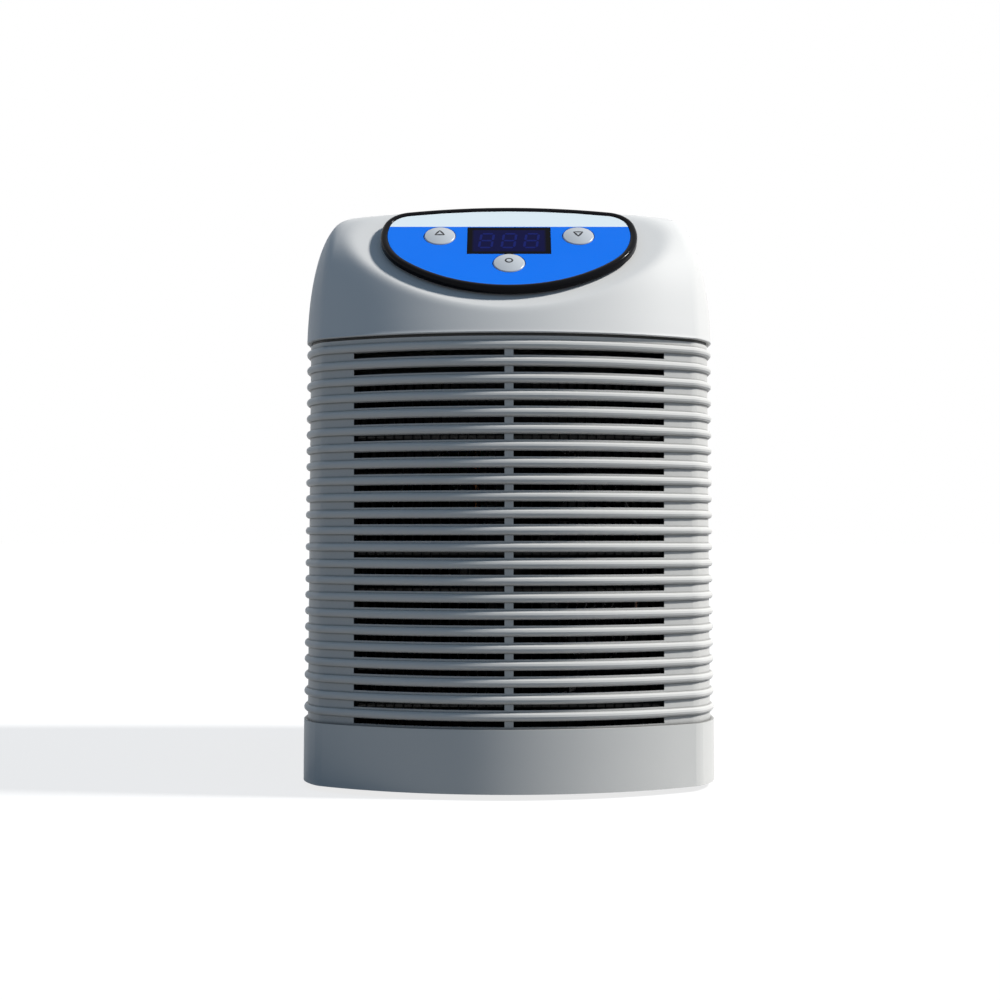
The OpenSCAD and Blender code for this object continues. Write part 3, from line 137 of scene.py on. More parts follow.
class ChillerPanelSizes(bpy.types.PropertyGroup):
    """Sizes of the key panel on the deck: the CAD source's, and those of its prints."""

    start: length("Start", 0.0143, "Lower edge, up the deck from its fold")
    width: length("Width", 0.135, "Width of the panel")
    low_radius: length("Lower radius", 0.080, "Radius of the lower edge")
    corner_radius: length("Upper corner radius", 0.016, "Radius of the upper corners")
    height: length("Rim height", 0.004, "Height of the rim over the deck")
    rim: length("Rim width", 0.0035, "Width of the glossy rim")
    film: length("Film height", 0.0026, "Level of the film's underside over the deck")
    plate: length("Plate height", 0.0012, "Level of the plate's underside over the deck")
    collar: length("Collar", 0.0068, "Inset of the collar from the outline")
    ledge: length("Ledge", 0.009, "Inset of the ledge's inner edge")
    drop: length("Collar drop", 0.003, "How far the collar reaches under the deck")
    gap: length("Gap", 0.0001, "Gap between the rim and the deck")
    undercut: length("Undercut", 0.0018, "How far the rim's foot is drawn in under its crest")
    hole: length("Hole", 0.0064, "Inset of the cover's hole")
    band: length("Band", 0.0715, "Where the pale band starts, up the deck")
    key_radius: length("Key radius", 0.00825, "Radius of a key")
    key_flange: length("Key flange", 0.0012, "Thickness of the flange under a key")
    key_flange_width: length("Flange width", 0.001, "Width of the flange round a key")
    key_top: length("Key top", 0.0034, "Level of a key's rim over the deck")
    key_crown: length("Crown", 0.001, "Height of a key's dome over its rim")
    key_round: length("Key rounding", 0.0009, "Rounding of a key's rim")
    key_play: length("Key play", 0.0003, "Gap between a key's flange and the plate")
    key_pole: length("Key pole", 0.0003, "Radius of the small faces that close a key")
    stem_height: length("Stem height", 0.0006, "Height of the stem under a key")
    stem_radius: length("Stem radius", 0.0017, "Radius of the stem under a key")
    key_x: length("Key distance", 0.0364, "Distance of the upper keys from the middle")
    keys_up: length("Upper keys", 0.0627, "Place of the upper keys, up the deck")
    set_up: length("Set key", 0.0375, "Place of the set key, up the deck")
    symbol: length("Symbol", 0.0022, "Radius of a key's symbol")
    symbol_line: length("Symbol line", 0.0009, "Width of a symbol's line")
    symbol_shift: length("Symbol shift", 0.0008, "How far up its key a symbol stands")
    symbol_sunk: length("Symbol sunk", 0.0002, "How far a symbol's print reaches into its key")
    print_lift: length("Print lift", 0.00003, "Thickness of a print over its face")
    window_up: length("Window", 0.0584, "Middle of the window, up the deck")
    window_top: length("Window level", 0.0031, "Level of the window's face over the deck")
    clear_across: length("Clear half width", 0.0182, "Where the clear field starts to fade, across")
    border_across: length("Border half width", 0.0196, "Where the black border is full, across")
    clear_up: length("Clear half height", 0.0094, "Where the clear field starts to fade, upwards")
    border_up: length("Border half height", 0.0106, "Where the black border is full, upwards")
    digit_height: length("Digit height", 0.0142, "Height of a digit of the display")
    digit_width: length("Digit width", 0.0078, "Width of a digit of the display")
    digit_pitch: length("Digit pitch", 0.0118, "Distance between digits")
    digit_lean: angle("Digit lean", 6.0, "Slant of the digits")
    digit_sunk: length("Digit sunk", 0.0004, "How far a digit's bars reach into the window")
    segment: length("Segment", 0.0013, "Width of a digit's segment")


class ChillerColours(bpy.types.PropertyGroup):
    """Colours of the finishes, each as it looks in plain light."""

    shell: colour("Housing", (0.70, 0.69, 0.665), "Light warm grey of the ribbed housing")
    cover: colour("Cover", (0.775, 0.765, 0.745), "Light warm grey of the cover")
    rim: colour("Rim", (0.006, 0.006, 0.008), "Glossy black of the panel's rim")
    film: colour("Film", (0.010, 0.205, 1.0), "Blue of the panel's film")
    band: colour("Band", (0.86, 0.95, 0.98), "Pale band of the film")
    window: colour("Window", (0.002, 0.003, 0.050), "Navy of the display's window")
    border: colour("Border", (0.002, 0.002, 0.004), "Black printed border of the window")
    digit: colour("Digit", (0.006, 0.013, 0.14), "Unlit digits behind the window")
    key: colour("Key", (0.56, 0.59, 0.62), "Silver grey of the keys")
    symbol: colour("Symbol", (0.012, 0.013, 0.018), "Printed symbols on the keys")
    dark: colour("Dark plastic", (0.018, 0.018, 0.020), "Dark moulded plastic")
    rubber: colour("Rubber", (0.012, 0.012, 0.012), "Rubber feet, seals and grommets")
    steel: colour("Steel", (0.56, 0.56, 0.58), "Zinc plated steel")
    enamel: colour("Enamel", (0.008, 0.008, 0.009), "Black enamel of the compressor")
    # Near black: partly a guessed black coating of the fins, partly painted shade that keeps the
    # slots behind the louvres dark.
    fin: colour("Fin", (0.012, 0.013, 0.014), "Black coating of the condenser's fins")
    aluminium: colour("Aluminium", (0.60, 0.61, 0.63), "Bare aluminium of the fan's motor")
    copper: colour("Copper", (0.66, 0.29, 0.13), "Copper of the lines")
    titanium: colour("Titanium", (0.38, 0.36, 0.33), "Titanium of the coil")
    vessel: colour("Vessel", (0.62, 0.65, 0.66), "Natural plastic of the vessel")
    board: colour("Board", (0.006, 0.10, 0.03), "Green of the circuit boards")
    relay: colour("Relay", (0.01, 0.05, 0.32), "Blue of the relay")
    winding: colour("Laminations", (0.17, 0.08, 0.02), "Varnished steel of the transformer")
    dust: colour("Dust", (0.50, 0.47, 0.42), "Dust on faces that look up")
    floor: colour("Floor", (0.24, 0.24, 0.24), "Floor under its white glow")


class ChillerLight(bpy.types.PropertyGroup):
    """Lamps, world and camera."""

    key_strength: number("Key light", 4.1, "Strength of the soft key light", 0.0, 20.0)
    key_colour: colour("Key colour", (1.0, 0.985, 0.955), "Colour of the key light")
    key_distance: length("Key distance", 3.0, "How far off the key light is drawn", 0.1, 10.0)
    key_side: angle("Key side", 84.0, "Turn of the key light from the front, to the right")
    key_rise: angle("Key height", 43.0, "Height of the key light over the horizon")
    key_spread: angle("Key spread", 6.0, "Angular size of the key light")
    sky: colour("Sky", (0.38, 0.65, 1.0), "Colour of the light from all round")
    sky_strength: number("Sky strength", 0.225, "Strength of the light from all round", 0.0, 5.0)
    floor_glow: number("Floor glow", 0.79, "What lifts the seen floor towards white", 0.0, 1.0)
    floor_reach: length("Floor reach", 30.0, "Half the width of the floor", 1.0, 100.0)
    camera_distance: length("Camera distance", 0.900, "From the front bow to the camera", 0.1, 5.0)
    camera_height: length("Camera height", 0.132, "Height of the camera over the floor", 0.0, 3.0)
    lens: number("Lens", 64.8, "Focal length in millimetres", 10.0, 300.0)
    sensor: number("Sensor", 36.0, "Width of the sensor in millimetres", 5.0, 100.0)
    shift_x: number("Shift across", -0.009, "Sideways shift as a share of the width", -0.2, 0.2)
    shift_y: number("Shift up", 0.037, "Upward shift as a share of the width", -0.2, 0.2)


class ChillerDetail(bpy.types.PropertyGroup):
    """How finely the new surfaces are divided."""

    rolls: count("Cover rings", 150, "Rings from the cover's lip to its flat top", 20, 400)
    lip: count("Lip rings", 6, "Rings round the lip's rounded edge", 2, 24)
    arc: count("Arc points", 36, "Points along each long arc of the cover's outline", 8, 96)
    rim_arc: count("Rim arc points", 30, "Points along each arc of the panel's rim", 8, 96)
    hole_arc: count("Hole arc points", 16, "Points along each arc of the cover's hole", 4, 96)
    crest: count("Crest points", 13, "Points on each half of the rim's crest", 3, 48)
    round: count("Round points", 96, "Points round a key or a ring", 24, 256)
    edge: count("Key edge points", 8, "Points on a key's rounded edge", 3, 32)
    dome: count("Key dome rings", 14, "Rings over a key's dome", 4, 64)


def sizes():
    """The sizes of the cover."""
    return bpy.context.scene.chiller_cover


def panel():
    """The sizes of the key panel."""
    return bpy.context.scene.chiller_panel


def tones():
    """The colours of the finishes."""
    return bpy.context.scene.chiller_colours


def detail():
    """How finely surfaces are divided."""
    return bpy.context.scene.chiller_detail


# Shapes


def facing(a):
    """Unit vectors that point out of the plan at an angle from the front: (sin a, -cos a)."""
    return np.stack([np.sin(a), -np.cos(a)], axis=-1)


def arc(centre, radius, start, end, steps, first=0):
    """Points centre + radius * facing(angle), the angle running evenly from start to end."""
    t = np.linspace(0.0, 1.0, steps + 1)[first:]
    start, end = np.asarray(start), np.asarray(end)
    a = start[..., None] + (end - start)[..., None] * t
    return np.asarray(centre)[..., None, :] + np.asarray(radius)[..., None, None] * facing(a)


def straight(start, end, steps):
    """Points between two ends, evenly spaced, without either end."""
    t = np.linspace(0.0, 1.0, steps + 1)[1:-1][:, None]
    return start[..., None, :] + (end - start)[..., None, :] * t


def mirrored(half):
    """A half outline that starts and ends on the middle line, closed with its mirror image."""
    back = half[..., -2:0:-1, :] * np.array([-1.0, 1.0])
    return np.concatenate([half, back], axis=-2)


def plan(hw, yf, yr, rf, rc, rs, turn, rr, steps):
    """The housing's plan: a front arc, a corner arc, a side arc, a straight side and a rear corner,
    each tangent to the next, mirrored about the middle line. Sizes may be arrays, one per ring."""
    hw, yf, yr, rf, rc, rs, turn, rr = np.broadcast_arrays(hw, yf, yr, rf, rc, rs, turn, rr)
    front = np.arcsin((hw - rs * (1 - np.sin(turn)) - rc * np.sin(turn)) / (rf - rc))
    cf = np.stack([np.zeros_like(yf), yf + rf], axis=-1)
    cc = cf + (rf - rc)[..., None] * facing(front)
    cs = cc - (rs - rc)[..., None] * facing(turn)
    cr = np.stack([hw - rr, yr - rr], axis=-1)
    zero, quarter = np.zeros_like(hw), np.full_like(hw, math.pi / 2)
    half_turn = 2 * quarter
    side_end = cs + rs[..., None] * facing(quarter)
    rear_start = cr + rr[..., None] * facing(quarter)
    rear_end = cr + rr[..., None] * facing(half_turn)
    middle = np.stack([zero, yr], axis=-1)
    return mirrored(np.concatenate([
        arc(cf, rf, zero, front, steps),
        arc(cc, rc, front, turn, steps // 2, first=1),
        arc(cs, rs, turn, quarter, steps, first=1),
        straight(side_end, rear_start, steps),
        arc(cr, rr, quarter, half_turn, steps // 2),
        straight(rear_end, middle, steps // 2),
        middle[..., None, :],
    ], axis=-2))


def lower_of(a, b, soft):
    """The lower of two heights, with the crease between them rounded over a soft distance."""
    near = np.maximum(soft - np.abs(a - b), 0.0) / soft
    return np.minimum(a, b) - near ** 2 * soft / 4


def side_radius():
    """Radius of the bowed side that is tangent to the corner and to the straight side."""
    s = sizes()
    left = (s.half_width - (s.front_radius - s.corner_radius) * math.sin(s.front_turn)
            - s.corner_radius * math.sin(s.side_turn))
    return left / (1 - math.sin(s.side_turn))


def outlines(base, drawn, fall):
    """Plans of the cover's rings: set in by base from the skirt's plan, drawn in towards the flat
    top by the shoulders' reach, and with the front set back by fall."""
    s = sizes()
    return plan(s.half_width - base - s.shoulder_side * drawn,
                base + s.shoulder_front * drawn ** s.shoulder_ease + fall,
                s.depth - base - s.shoulder_rear * drawn,
                s.front_radius - base,
                s.corner_radius - base + s.corner_growth * drawn,
                side_radius() - base,
                s.side_turn + (math.pi / 2 - s.side_turn) * drawn,
                s.rear_radius - base + s.rear_growth * drawn,
                detail().arc)


def cover_rings(roll, inset):
    """Rings of the cover at roll angles from just under 0 at the lip to a quarter turn at the flat
    top. The plan is drawn in by 1 - cos(roll), the level rises by sin(roll), the front leans back
    evenly up to the lean height, and the sloping deck cuts it off."""
    s = sizes()
    drawn = 1 - np.cos(np.maximum(roll, 0.0))
    level = s.lip_z + s.dome_start + (s.dome_height - inset) * np.sin(roll)
    fall = lower_of(level - s.lip_z, s.lean_height, s.lean_soft) * math.tan(s.front_lean)
    loops = outlines(s.draft + inset, drawn, fall)
    deck = (s.lip_z + s.fold_rise - (inset + s.deck_drop) / math.cos(s.deck_angle)
            + (loops[..., 1] - s.draft) * math.tan(s.deck_angle))
    soft = s.fold_soft + (s.crease_soft - s.fold_soft) * drawn
    z = lower_of(np.broadcast_to(level[:, None], deck.shape), deck, soft[:, None])
    return np.concatenate([loops, z[..., None]], axis=-1)


def rim_rings(insets, heights):
    """Plain rings of the cover's rim, each at its own inset and height."""
    insets, heights = np.array(insets), np.array(heights)
    loops = outlines(sizes().draft + insets, np.zeros_like(insets), 0.0)
    z = np.broadcast_to(heights[:, None], loops.shape[:2])
    return np.concatenate([loops, z[..., None]], axis=-1)


def in_housing(points):
    """From housing coordinates, at the front bow and the skirt's foot, to the row frame."""
    s = sizes()
    return points + np.array([0.0, s.front_y, s.foot])


def on_deck(x, t, n):
    """From deck coordinates, across, up the slope and out of the deck, to the row frame."""
    s = sizes()
    c, d = math.cos(s.deck_angle), math.sin(s.deck_angle)
    x, t, n = np.broadcast_arrays(x, t, n)
    y = s.draft + t * c - n * d
    z = s.lip_z + s.fold_rise + t * d + n * c
    return in_housing(np.stack([x, y, z], axis=-1))


def pod_outline(grow, steps):
    """The half-moon panel outline, let out by grow: a wide lower arc, a side arc, an upper corner
    and a flat upper arc, each tangent to the next. grow may hold one value per ring."""
    p = panel()
    turns = np.radians(POD_TURNS)
    grow = np.asarray(grow, float)
    side = (p.width / 2 - p.low_radius * math.sin(turns[1])) / (1 - math.sin(turns[1]))
    c1 = np.array([0.0, p.start + p.low_radius])
    c2 = c1 + (p.low_radius - side) * facing(turns[1])
    c3 = c2 + (side - p.corner_radius) * facing(turns[2])
    top = p.corner_radius + c3[0] / math.sin(turns[3])
    c4 = c3 + (p.corner_radius - top) * facing(turns[3])
    parts = []
    arcs = (c1, p.low_radius), (c2, side), (c3, p.corner_radius), (c4, top)
    for i, (centre, radius) in enumerate(arcs):
        start, end = np.full(grow.shape, turns[i]), np.full(grow.shape, turns[i + 1])
        centres = np.broadcast_to(centre, grow.shape + (2,))
        parts.append(arc(centres, radius + grow, start, end, steps, first=min(i, 1)))
    return mirrored(np.concatenate(parts, axis=-2))


def ring_faces(rings, many, closed=False):
    """Quads between rings of so many points each; closed joins the last ring to the first."""
    j = np.arange(rings if closed else rings - 1)[:, None]
    i = np.arange(many)[None, :]
    up, on = (j + 1) % rings, (i + 1) % many
    quads = np.stack([j * many + i, j * many + on, up * many + on, up * many + i], axis=-1)
    return quads.reshape(-1, 4)


def capped(rings, many):
    """The faces of a tube of rings of so many points each, with a flat cap at either end."""
    loop = np.arange(many)[None, :]
    return [ring_faces(rings, many), loop[:, ::-1], (rings - 1) * many + loop]


def make_mesh(name, points, faces):
    """A mesh from points and arrays of faces."""
    mesh = bpy.data.meshes.new(name)
    corners = np.asarray(points, float).reshape(-1, 3).tolist()
    mesh.from_pydata(corners, [], [face for group in faces for face in group.tolist()])
    return mesh


def add_object(name, data):
    """A new object in the scene."""
    made = bpy.data.objects.new(name, data)
    bpy.context.collection.objects.link(made)
    return made


def make_piece(name, points, faces, body, material, stands_for=()):
    """A smooth mesh object at the origin that rides a body and has its slot."""
    mesh = make_mesh(name, points, faces)
    mesh.validate()
    mesh.shade_smooth()
    mesh.set_sharp_from_angle(angle=math.radians(SHARP_ANGLE))
    piece = add_object(name, mesh)
    mesh.materials.append(material)
    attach(piece, body)
    if stands_for:
        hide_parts(*stands_for)
    return piece


def bake_modifiers(piece):
    """Replaces a piece's mesh by what its modifiers make of it."""
    graph = bpy.context.evaluated_depsgraph_get()
    baked = bpy.data.meshes.new_from_object(piece.evaluated_get(graph))
    old = piece.data
    piece.modifiers.clear()
    piece.data = baked
    bpy.data.meshes.remove(old)


# Finishes


def feed(tree, made, inputs):
    """Links the inputs of a node to sockets, or sets them where a plain value is given."""
    for key, value in inputs.items():
        if isinstance(value, bpy.types.NodeSocket):
            tree.links.new(value, made.inputs[key])
        else:
            made.inputs[key].default_value = value


def node(tree, kind, inputs=None, **settings):
    """A shader node with its settings and its inputs."""
    made = tree.nodes.new(kind)
    for key, value in settings.items():
        setattr(made, key, value)
    feed(tree, made, inputs or {})
    return made


def use(tree, group, **inputs):
    """The outputs of a shader node group with its inputs."""
    return node(tree, "ShaderNodeGroup", inputs, node_tree=group).outputs


def maths(tree, operation, a, b=0.0, clamp=False):
    """The result of a Math node on values or sockets."""
    made = node(tree, "ShaderNodeMath", {0: a, 1: b}, operation=operation, use_clamp=clamp)
    return made.outputs[0]


def remap(tree, value, start, end, low=0.0, high=1.0):
    """A value carried from the range start to end into the range low to high, and held there."""
    inputs = {"Value": value, "From Min": start, "From Max": end, "To Min": low, "To Max": high}
    return node(tree, "ShaderNodeMapRange", inputs).outputs["Result"]


def noise(tree, place, scale, octaves, roughness=0.5, distortion=0.0):
    """The value of a noise texture at a place."""
    inputs = {"Vector": place, "Scale": scale, "Detail": octaves, "Roughness": roughness,
              "Distortion": distortion}
    return node(tree, "ShaderNodeTexNoise", inputs).outputs["Fac"]


def effect(name, inputs, outputs, fill):
    """A shader node group, built once. An input whose default is a number is a value, and any other
    is a vector. fill builds the nodes and returns the sockets that the group puts out, in order."""
    if name not in bpy.data.node_groups:
        group = bpy.data.node_groups.new(name, "ShaderNodeTree")
        for label, default in inputs.items():
            kind = "NodeSocketFloat" if isinstance(default, float) else "NodeSocketVector"
            socket = group.interface.new_socket(label, in_out="INPUT", socket_type=kind)
            if default is not None:
                socket.default_value = default
        for label in outputs:
            group.interface.new_socket(label, in_out="OUTPUT", socket_type="NodeSocketFloat")
        into, out = group.nodes.new("NodeGroupInput"), group.nodes.new("NodeGroupOutput")
        for label, value in zip(outputs, fill(group, into.outputs)):
            group.links.new(value, out.inputs[label])
    return bpy.data.node_groups[name]


def moulded_grain():
    """Spark-eroded mould grain: fine pits over a faint slow unevenness. Gives a height, a shade
    mask that varies slowly over the piece and a roughness."""
    def fill(tree, into):
        place, grain = into["Vector"], into["Grain"]
        pits = node(tree, "ShaderNodeTexVoronoi", {"Vector": place, "Scale": grain},
                    feature="SMOOTH_F1")
        fine = noise(tree, place, grain, octaves=3.0, roughness=0.6)
        slow = noise(tree, place, scale=14.0, octaves=4.0, roughness=0.55)
        swing = remap(tree, slow, 0.3, 0.7, low=-0.5, high=0.5)
        vary = maths(tree, "MULTIPLY", swing, into["Spread"])
        return (maths(tree, "ADD", pits.outputs["Distance"], fine), slow,
                maths(tree, "ADD", vary, into["Roughness"]))

    inputs = {"Vector": None, "Grain": 2600.0, "Roughness": 0.45, "Spread": 0.08}
    return effect("Moulded grain", inputs, ("Height", "Shade", "Roughness"), fill)


def settled_dust():
    """Dust that gathers on faces that look up, broken up by noise. Gives a mask."""
    def fill(tree, into):
        normal = node(tree, "ShaderNodeNewGeometry").outputs["Normal"]
        up = node(tree, "ShaderNodeSeparateXYZ", {"Vector": normal}).outputs["Z"]
        cloud = noise(tree, into["Vector"], into["Patch"], octaves=5.0, roughness=0.65)
        patch = remap(tree, cloud, 0.42, 0.68)
        both = maths(tree, "MULTIPLY", remap(tree, up, 0.35, 1.0), patch)
        return [maths(tree, "MULTIPLY", both, into["Amount"], clamp=True)]

    return effect("Settled dust", {"Vector": None, "Amount": 0.3, "Patch": 60.0}, ("Mask",), fill)


def joint_shade():
    """Painted shade of a joint that never gets light: everything over a level. Gives a mask."""
    def fill(tree, into):
        height = node(tree, "ShaderNodeSeparateXYZ", {"Vector": into["Vector"]}).outputs["Z"]
        over = maths(tree, "SUBTRACT", height, into["Level"])
        return [remap(tree, over, -PRINT_EDGE, PRINT_EDGE)]

    return effect("Joint shade", {"Vector": None, "Level": 1.0}, ("Mask",), fill)


def painted_rib_shade():
    """Painted shade, from ambient occlusion, where a surface is walled in by its own ribs: darkest
    in the valleys between them. Gives a mask.
    """
    def fill(tree, into):
        openness = node(tree, "ShaderNodeAmbientOcclusion", {"Distance": into["Reach"]}, samples=8,
                        only_local=True).outputs["AO"]
        return [maths(tree, "MULTIPLY", remap(tree, openness, 0.93, 0.55), into["Amount"])]

    return effect("Painted rib shade", {"Reach": 0.004, "Amount": 0.6}, ("Mask",), fill)


def drawn_lines():
    """Fine lines left by drawing or brushing along one axis. Gives a height and a roughness."""
    def fill(tree, into):
        stretched = node(tree, "ShaderNodeVectorMath", {0: into["Vector"], 1: into["Stretch"]},
                         operation="MULTIPLY").outputs["Vector"]
        lines = noise(tree, stretched, scale=1.0, octaves=4.0)
        vary = remap(tree, lines, 0.3, 0.7, low=-0.08, high=0.08)
        return lines, maths(tree, "ADD", vary, into["Roughness"])

    return effect("Drawn lines", {"Vector": None, "Stretch": UPRIGHT_LINES, "Roughness": 0.3},
                  ("Height", "Roughness"), fill)


def handling_marks():
    """Faint smears and fine scratches on a glossy face. Gives a roughness and a height."""
    def fill(tree, into):
        place = into["Vector"]
        cloud = noise(tree, place, scale=45.0, octaves=6.0, roughness=0.6, distortion=0.6)
        smear = maths(tree, "MULTIPLY", remap(tree, cloud, 0.45, 0.75), into["Smear"])
        rough = maths(tree, "ADD", smear, into["Roughness"])
        return rough, noise(tree, place, scale=320.0, octaves=2.0)

    return effect("Handling marks", {"Vector": None, "Roughness": 0.08, "Smear": 0.10},
                  ("Roughness", "Height"), fill)


def start_finish(name):
    """A fresh material with its Principled shader and object coordinates."""
    material = bpy.data.materials.new(name)
    material.use_nodes = True
    tree = material.node_tree
    place = tree.nodes.new("ShaderNodeTexCoord").outputs["Object"]
    return material, tree, tree.nodes["Principled BSDF"], place


def blend_colours(tree, mask, a, b):
    """A colour that runs from a to b with a mask; either may be a colour or a socket."""
    mix = node(tree, "ShaderNodeMix", data_type="RGBA")
    ends = [end if isinstance(end, bpy.types.NodeSocket) else (*end, 1.0) for end in (a, b)]
    feed(tree, mix, {0: mask, 6: ends[0], 7: ends[1]})
    return mix.outputs[2]


def bump(tree, shader, height, strength, distance=0.00002):
    """Small relief from a height."""
    inputs = {"Height": height, "Strength": strength, "Distance": distance}
    feed(tree, shader, {"Normal": node(tree, "ShaderNodeBump", inputs).outputs["Normal"]})


def tinted(tone, factor):
    """A colour made darker or lighter by a factor."""
    return tuple(min(c * factor, 1.0) for c in tone)


def moulded_plastic(name, tone, roughness=0.45, grain=2600.0, depth=0.00002, dust=0.25,
                    specular=0.45, valley_shade=0.0, painted_shade_over=None):
    """Moulded plastic with mould grain, a slow change of tone and dust on faces that look up. Where
    it is asked for, painted shade darkens the valleys between ribs, and over a given level painted
    shade makes the plastic as dark as a joint, as in the groove under the cover's lip."""
    material, tree, shader, place = start_finish(name)
    grained = use(tree, moulded_grain(), Vector=place, Grain=grain, Roughness=roughness)
    dusty = use(tree, settled_dust(), Vector=place, Amount=dust)
    shades = (tinted(tone, factor) for factor in PLASTIC_SWING)
    base = blend_colours(tree, grained["Shade"], *shades)
    pale = [c + DUST_COVER * (d - c) for c, d in zip(tone, tones().dust)]
    base = blend_colours(tree, dusty["Mask"], base, pale)
    # Painted shade in the valleys between the ribs, from ambient occlusion.
    if valley_shade:
        shaded_valleys = use(tree, painted_rib_shade(), Amount=valley_shade)
        base = blend_colours(tree, shaded_valleys["Mask"], base, tinted(tone, RIB_SHADE_TINT))
    # Painted shade over a level, for the groove under the cover's lip.
    if painted_shade_over is not None:
        groove_shade = use(tree, joint_shade(), Vector=place, Level=painted_shade_over)
        base = blend_colours(tree, groove_shade["Mask"], base, tinted(tone, GROOVE_SHADE_TINT))
    feed(tree, shader, {"Base Color": base, "Roughness": grained["Roughness"],
                        "Specular IOR Level": specular})
    bump(tree, shader, grained["Height"], strength=0.35, distance=depth)
    return material


def drawn_metal(name, tone, roughness=0.3, stretch=UPRIGHT_LINES, tarnish=0.25, dark=0.55):
    """Drawn or rolled metal with fine lines and patches of tarnish."""
    material, tree, shader, place = start_finish(name)
    lined = use(tree, drawn_lines(), Vector=place, Stretch=stretch, Roughness=roughness)
    cloud = noise(tree, place, scale=55.0, octaves=5.0, roughness=0.6)
    patch = remap(tree, cloud, 0.42, 0.72, high=tarnish)
    feed(tree, shader, {"Base Color": blend_colours(tree, patch, tone, tinted(tone, dark)),
                        "Metallic": 1.0, "Roughness": lined["Roughness"]})
    bump(tree, shader, lined["Height"], strength=0.12)
    return material


def polish(tree, shader, place, base, roughness, smear, specular):
    """Feeds a shader its colour and a roughness with handling marks, and gives their height."""
    marks = use(tree, handling_marks(), Vector=place, Roughness=roughness, Smear=smear)
    feed(tree, shader, {"Base Color": base, "Roughness": marks["Roughness"],
                        "Specular IOR Level": specular})
    return marks["Height"]


def glossy_plastic(name, tone, roughness=0.07, smear=0.08, specular=0.4):
    """Polished plastic with faint handling marks."""
    material, tree, shader, place = start_finish(name)
    height = polish(tree, shader, place, (*tone, 1.0), roughness, smear, specular)
    bump(tree, shader, height, strength=0.05)
    return material


def dress(material, *nodes):
    """Gives carried-over CAD nodes their material."""
    for name in nodes:
        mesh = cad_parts[name].data
        mesh.materials.clear()
        mesh.materials.append(material)


def deck_level_of(tree, place):
    """Distance up the deck from its fold, from object coordinates: y cos(slope) + z sin(slope)."""
    s = sizes()
    c, d = math.cos(s.deck_angle), math.sin(s.deck_angle)
    start = (s.front_y + s.draft) * c + (s.foot + s.lip_z + s.fold_rise) * d
    along = node(tree, "ShaderNodeVectorMath", {0: place, 1: (0.0, c, d)}, operation="DOT_PRODUCT")
    return maths(tree, "SUBTRACT", along.outputs["Value"], start)


def printed_film():
    """Printed film: blue, with a pale band above a straight edge, a fine satin grain and faint
    handling marks."""
    p, t = panel(), tones()
    material, tree, shader, place = start_finish("Printed film")
    over = remap(tree, deck_level_of(tree, place), p.band - PRINT_EDGE, p.band + PRINT_EDGE)
    slow = noise(tree, place, scale=18.0, octaves=3.0)
    deep = blend_colours(tree, slow, *(tinted(t.film, factor) for factor in FILM_SWING))
    base = blend_colours(tree, over, deep, t.band)
    polish(tree, shader, place, base, roughness=0.28, smear=0.12, specular=0.04)
    grained = use(tree, moulded_grain(), Vector=place, Grain=3200.0)
    bump(tree, shader, grained["Height"], strength=0.12, distance=0.00001)
    return material


def smoked_window():
    """Dark window: navy inside a black printed border, under a polished face."""
    p, t = panel(), tones()
    material, tree, shader, place = start_finish("Smoked window")
    across = node(tree, "ShaderNodeSeparateXYZ", {"Vector": place}).outputs["X"]
    up = maths(tree, "SUBTRACT", deck_level_of(tree, place), p.window_up)
    inside = [remap(tree, maths(tree, "ABSOLUTE", value), clear, border, 1.0, 0.0)
              for value, clear, border in ((across, p.clear_across, p.border_across),
                                           (up, p.clear_up, p.border_up))]
    base = blend_colours(tree, maths(tree, "MULTIPLY", *inside), t.border, t.window)
    polish(tree, shader, place, base, roughness=0.06, smear=0.08, specular=0.03)
    return material


# Pieces


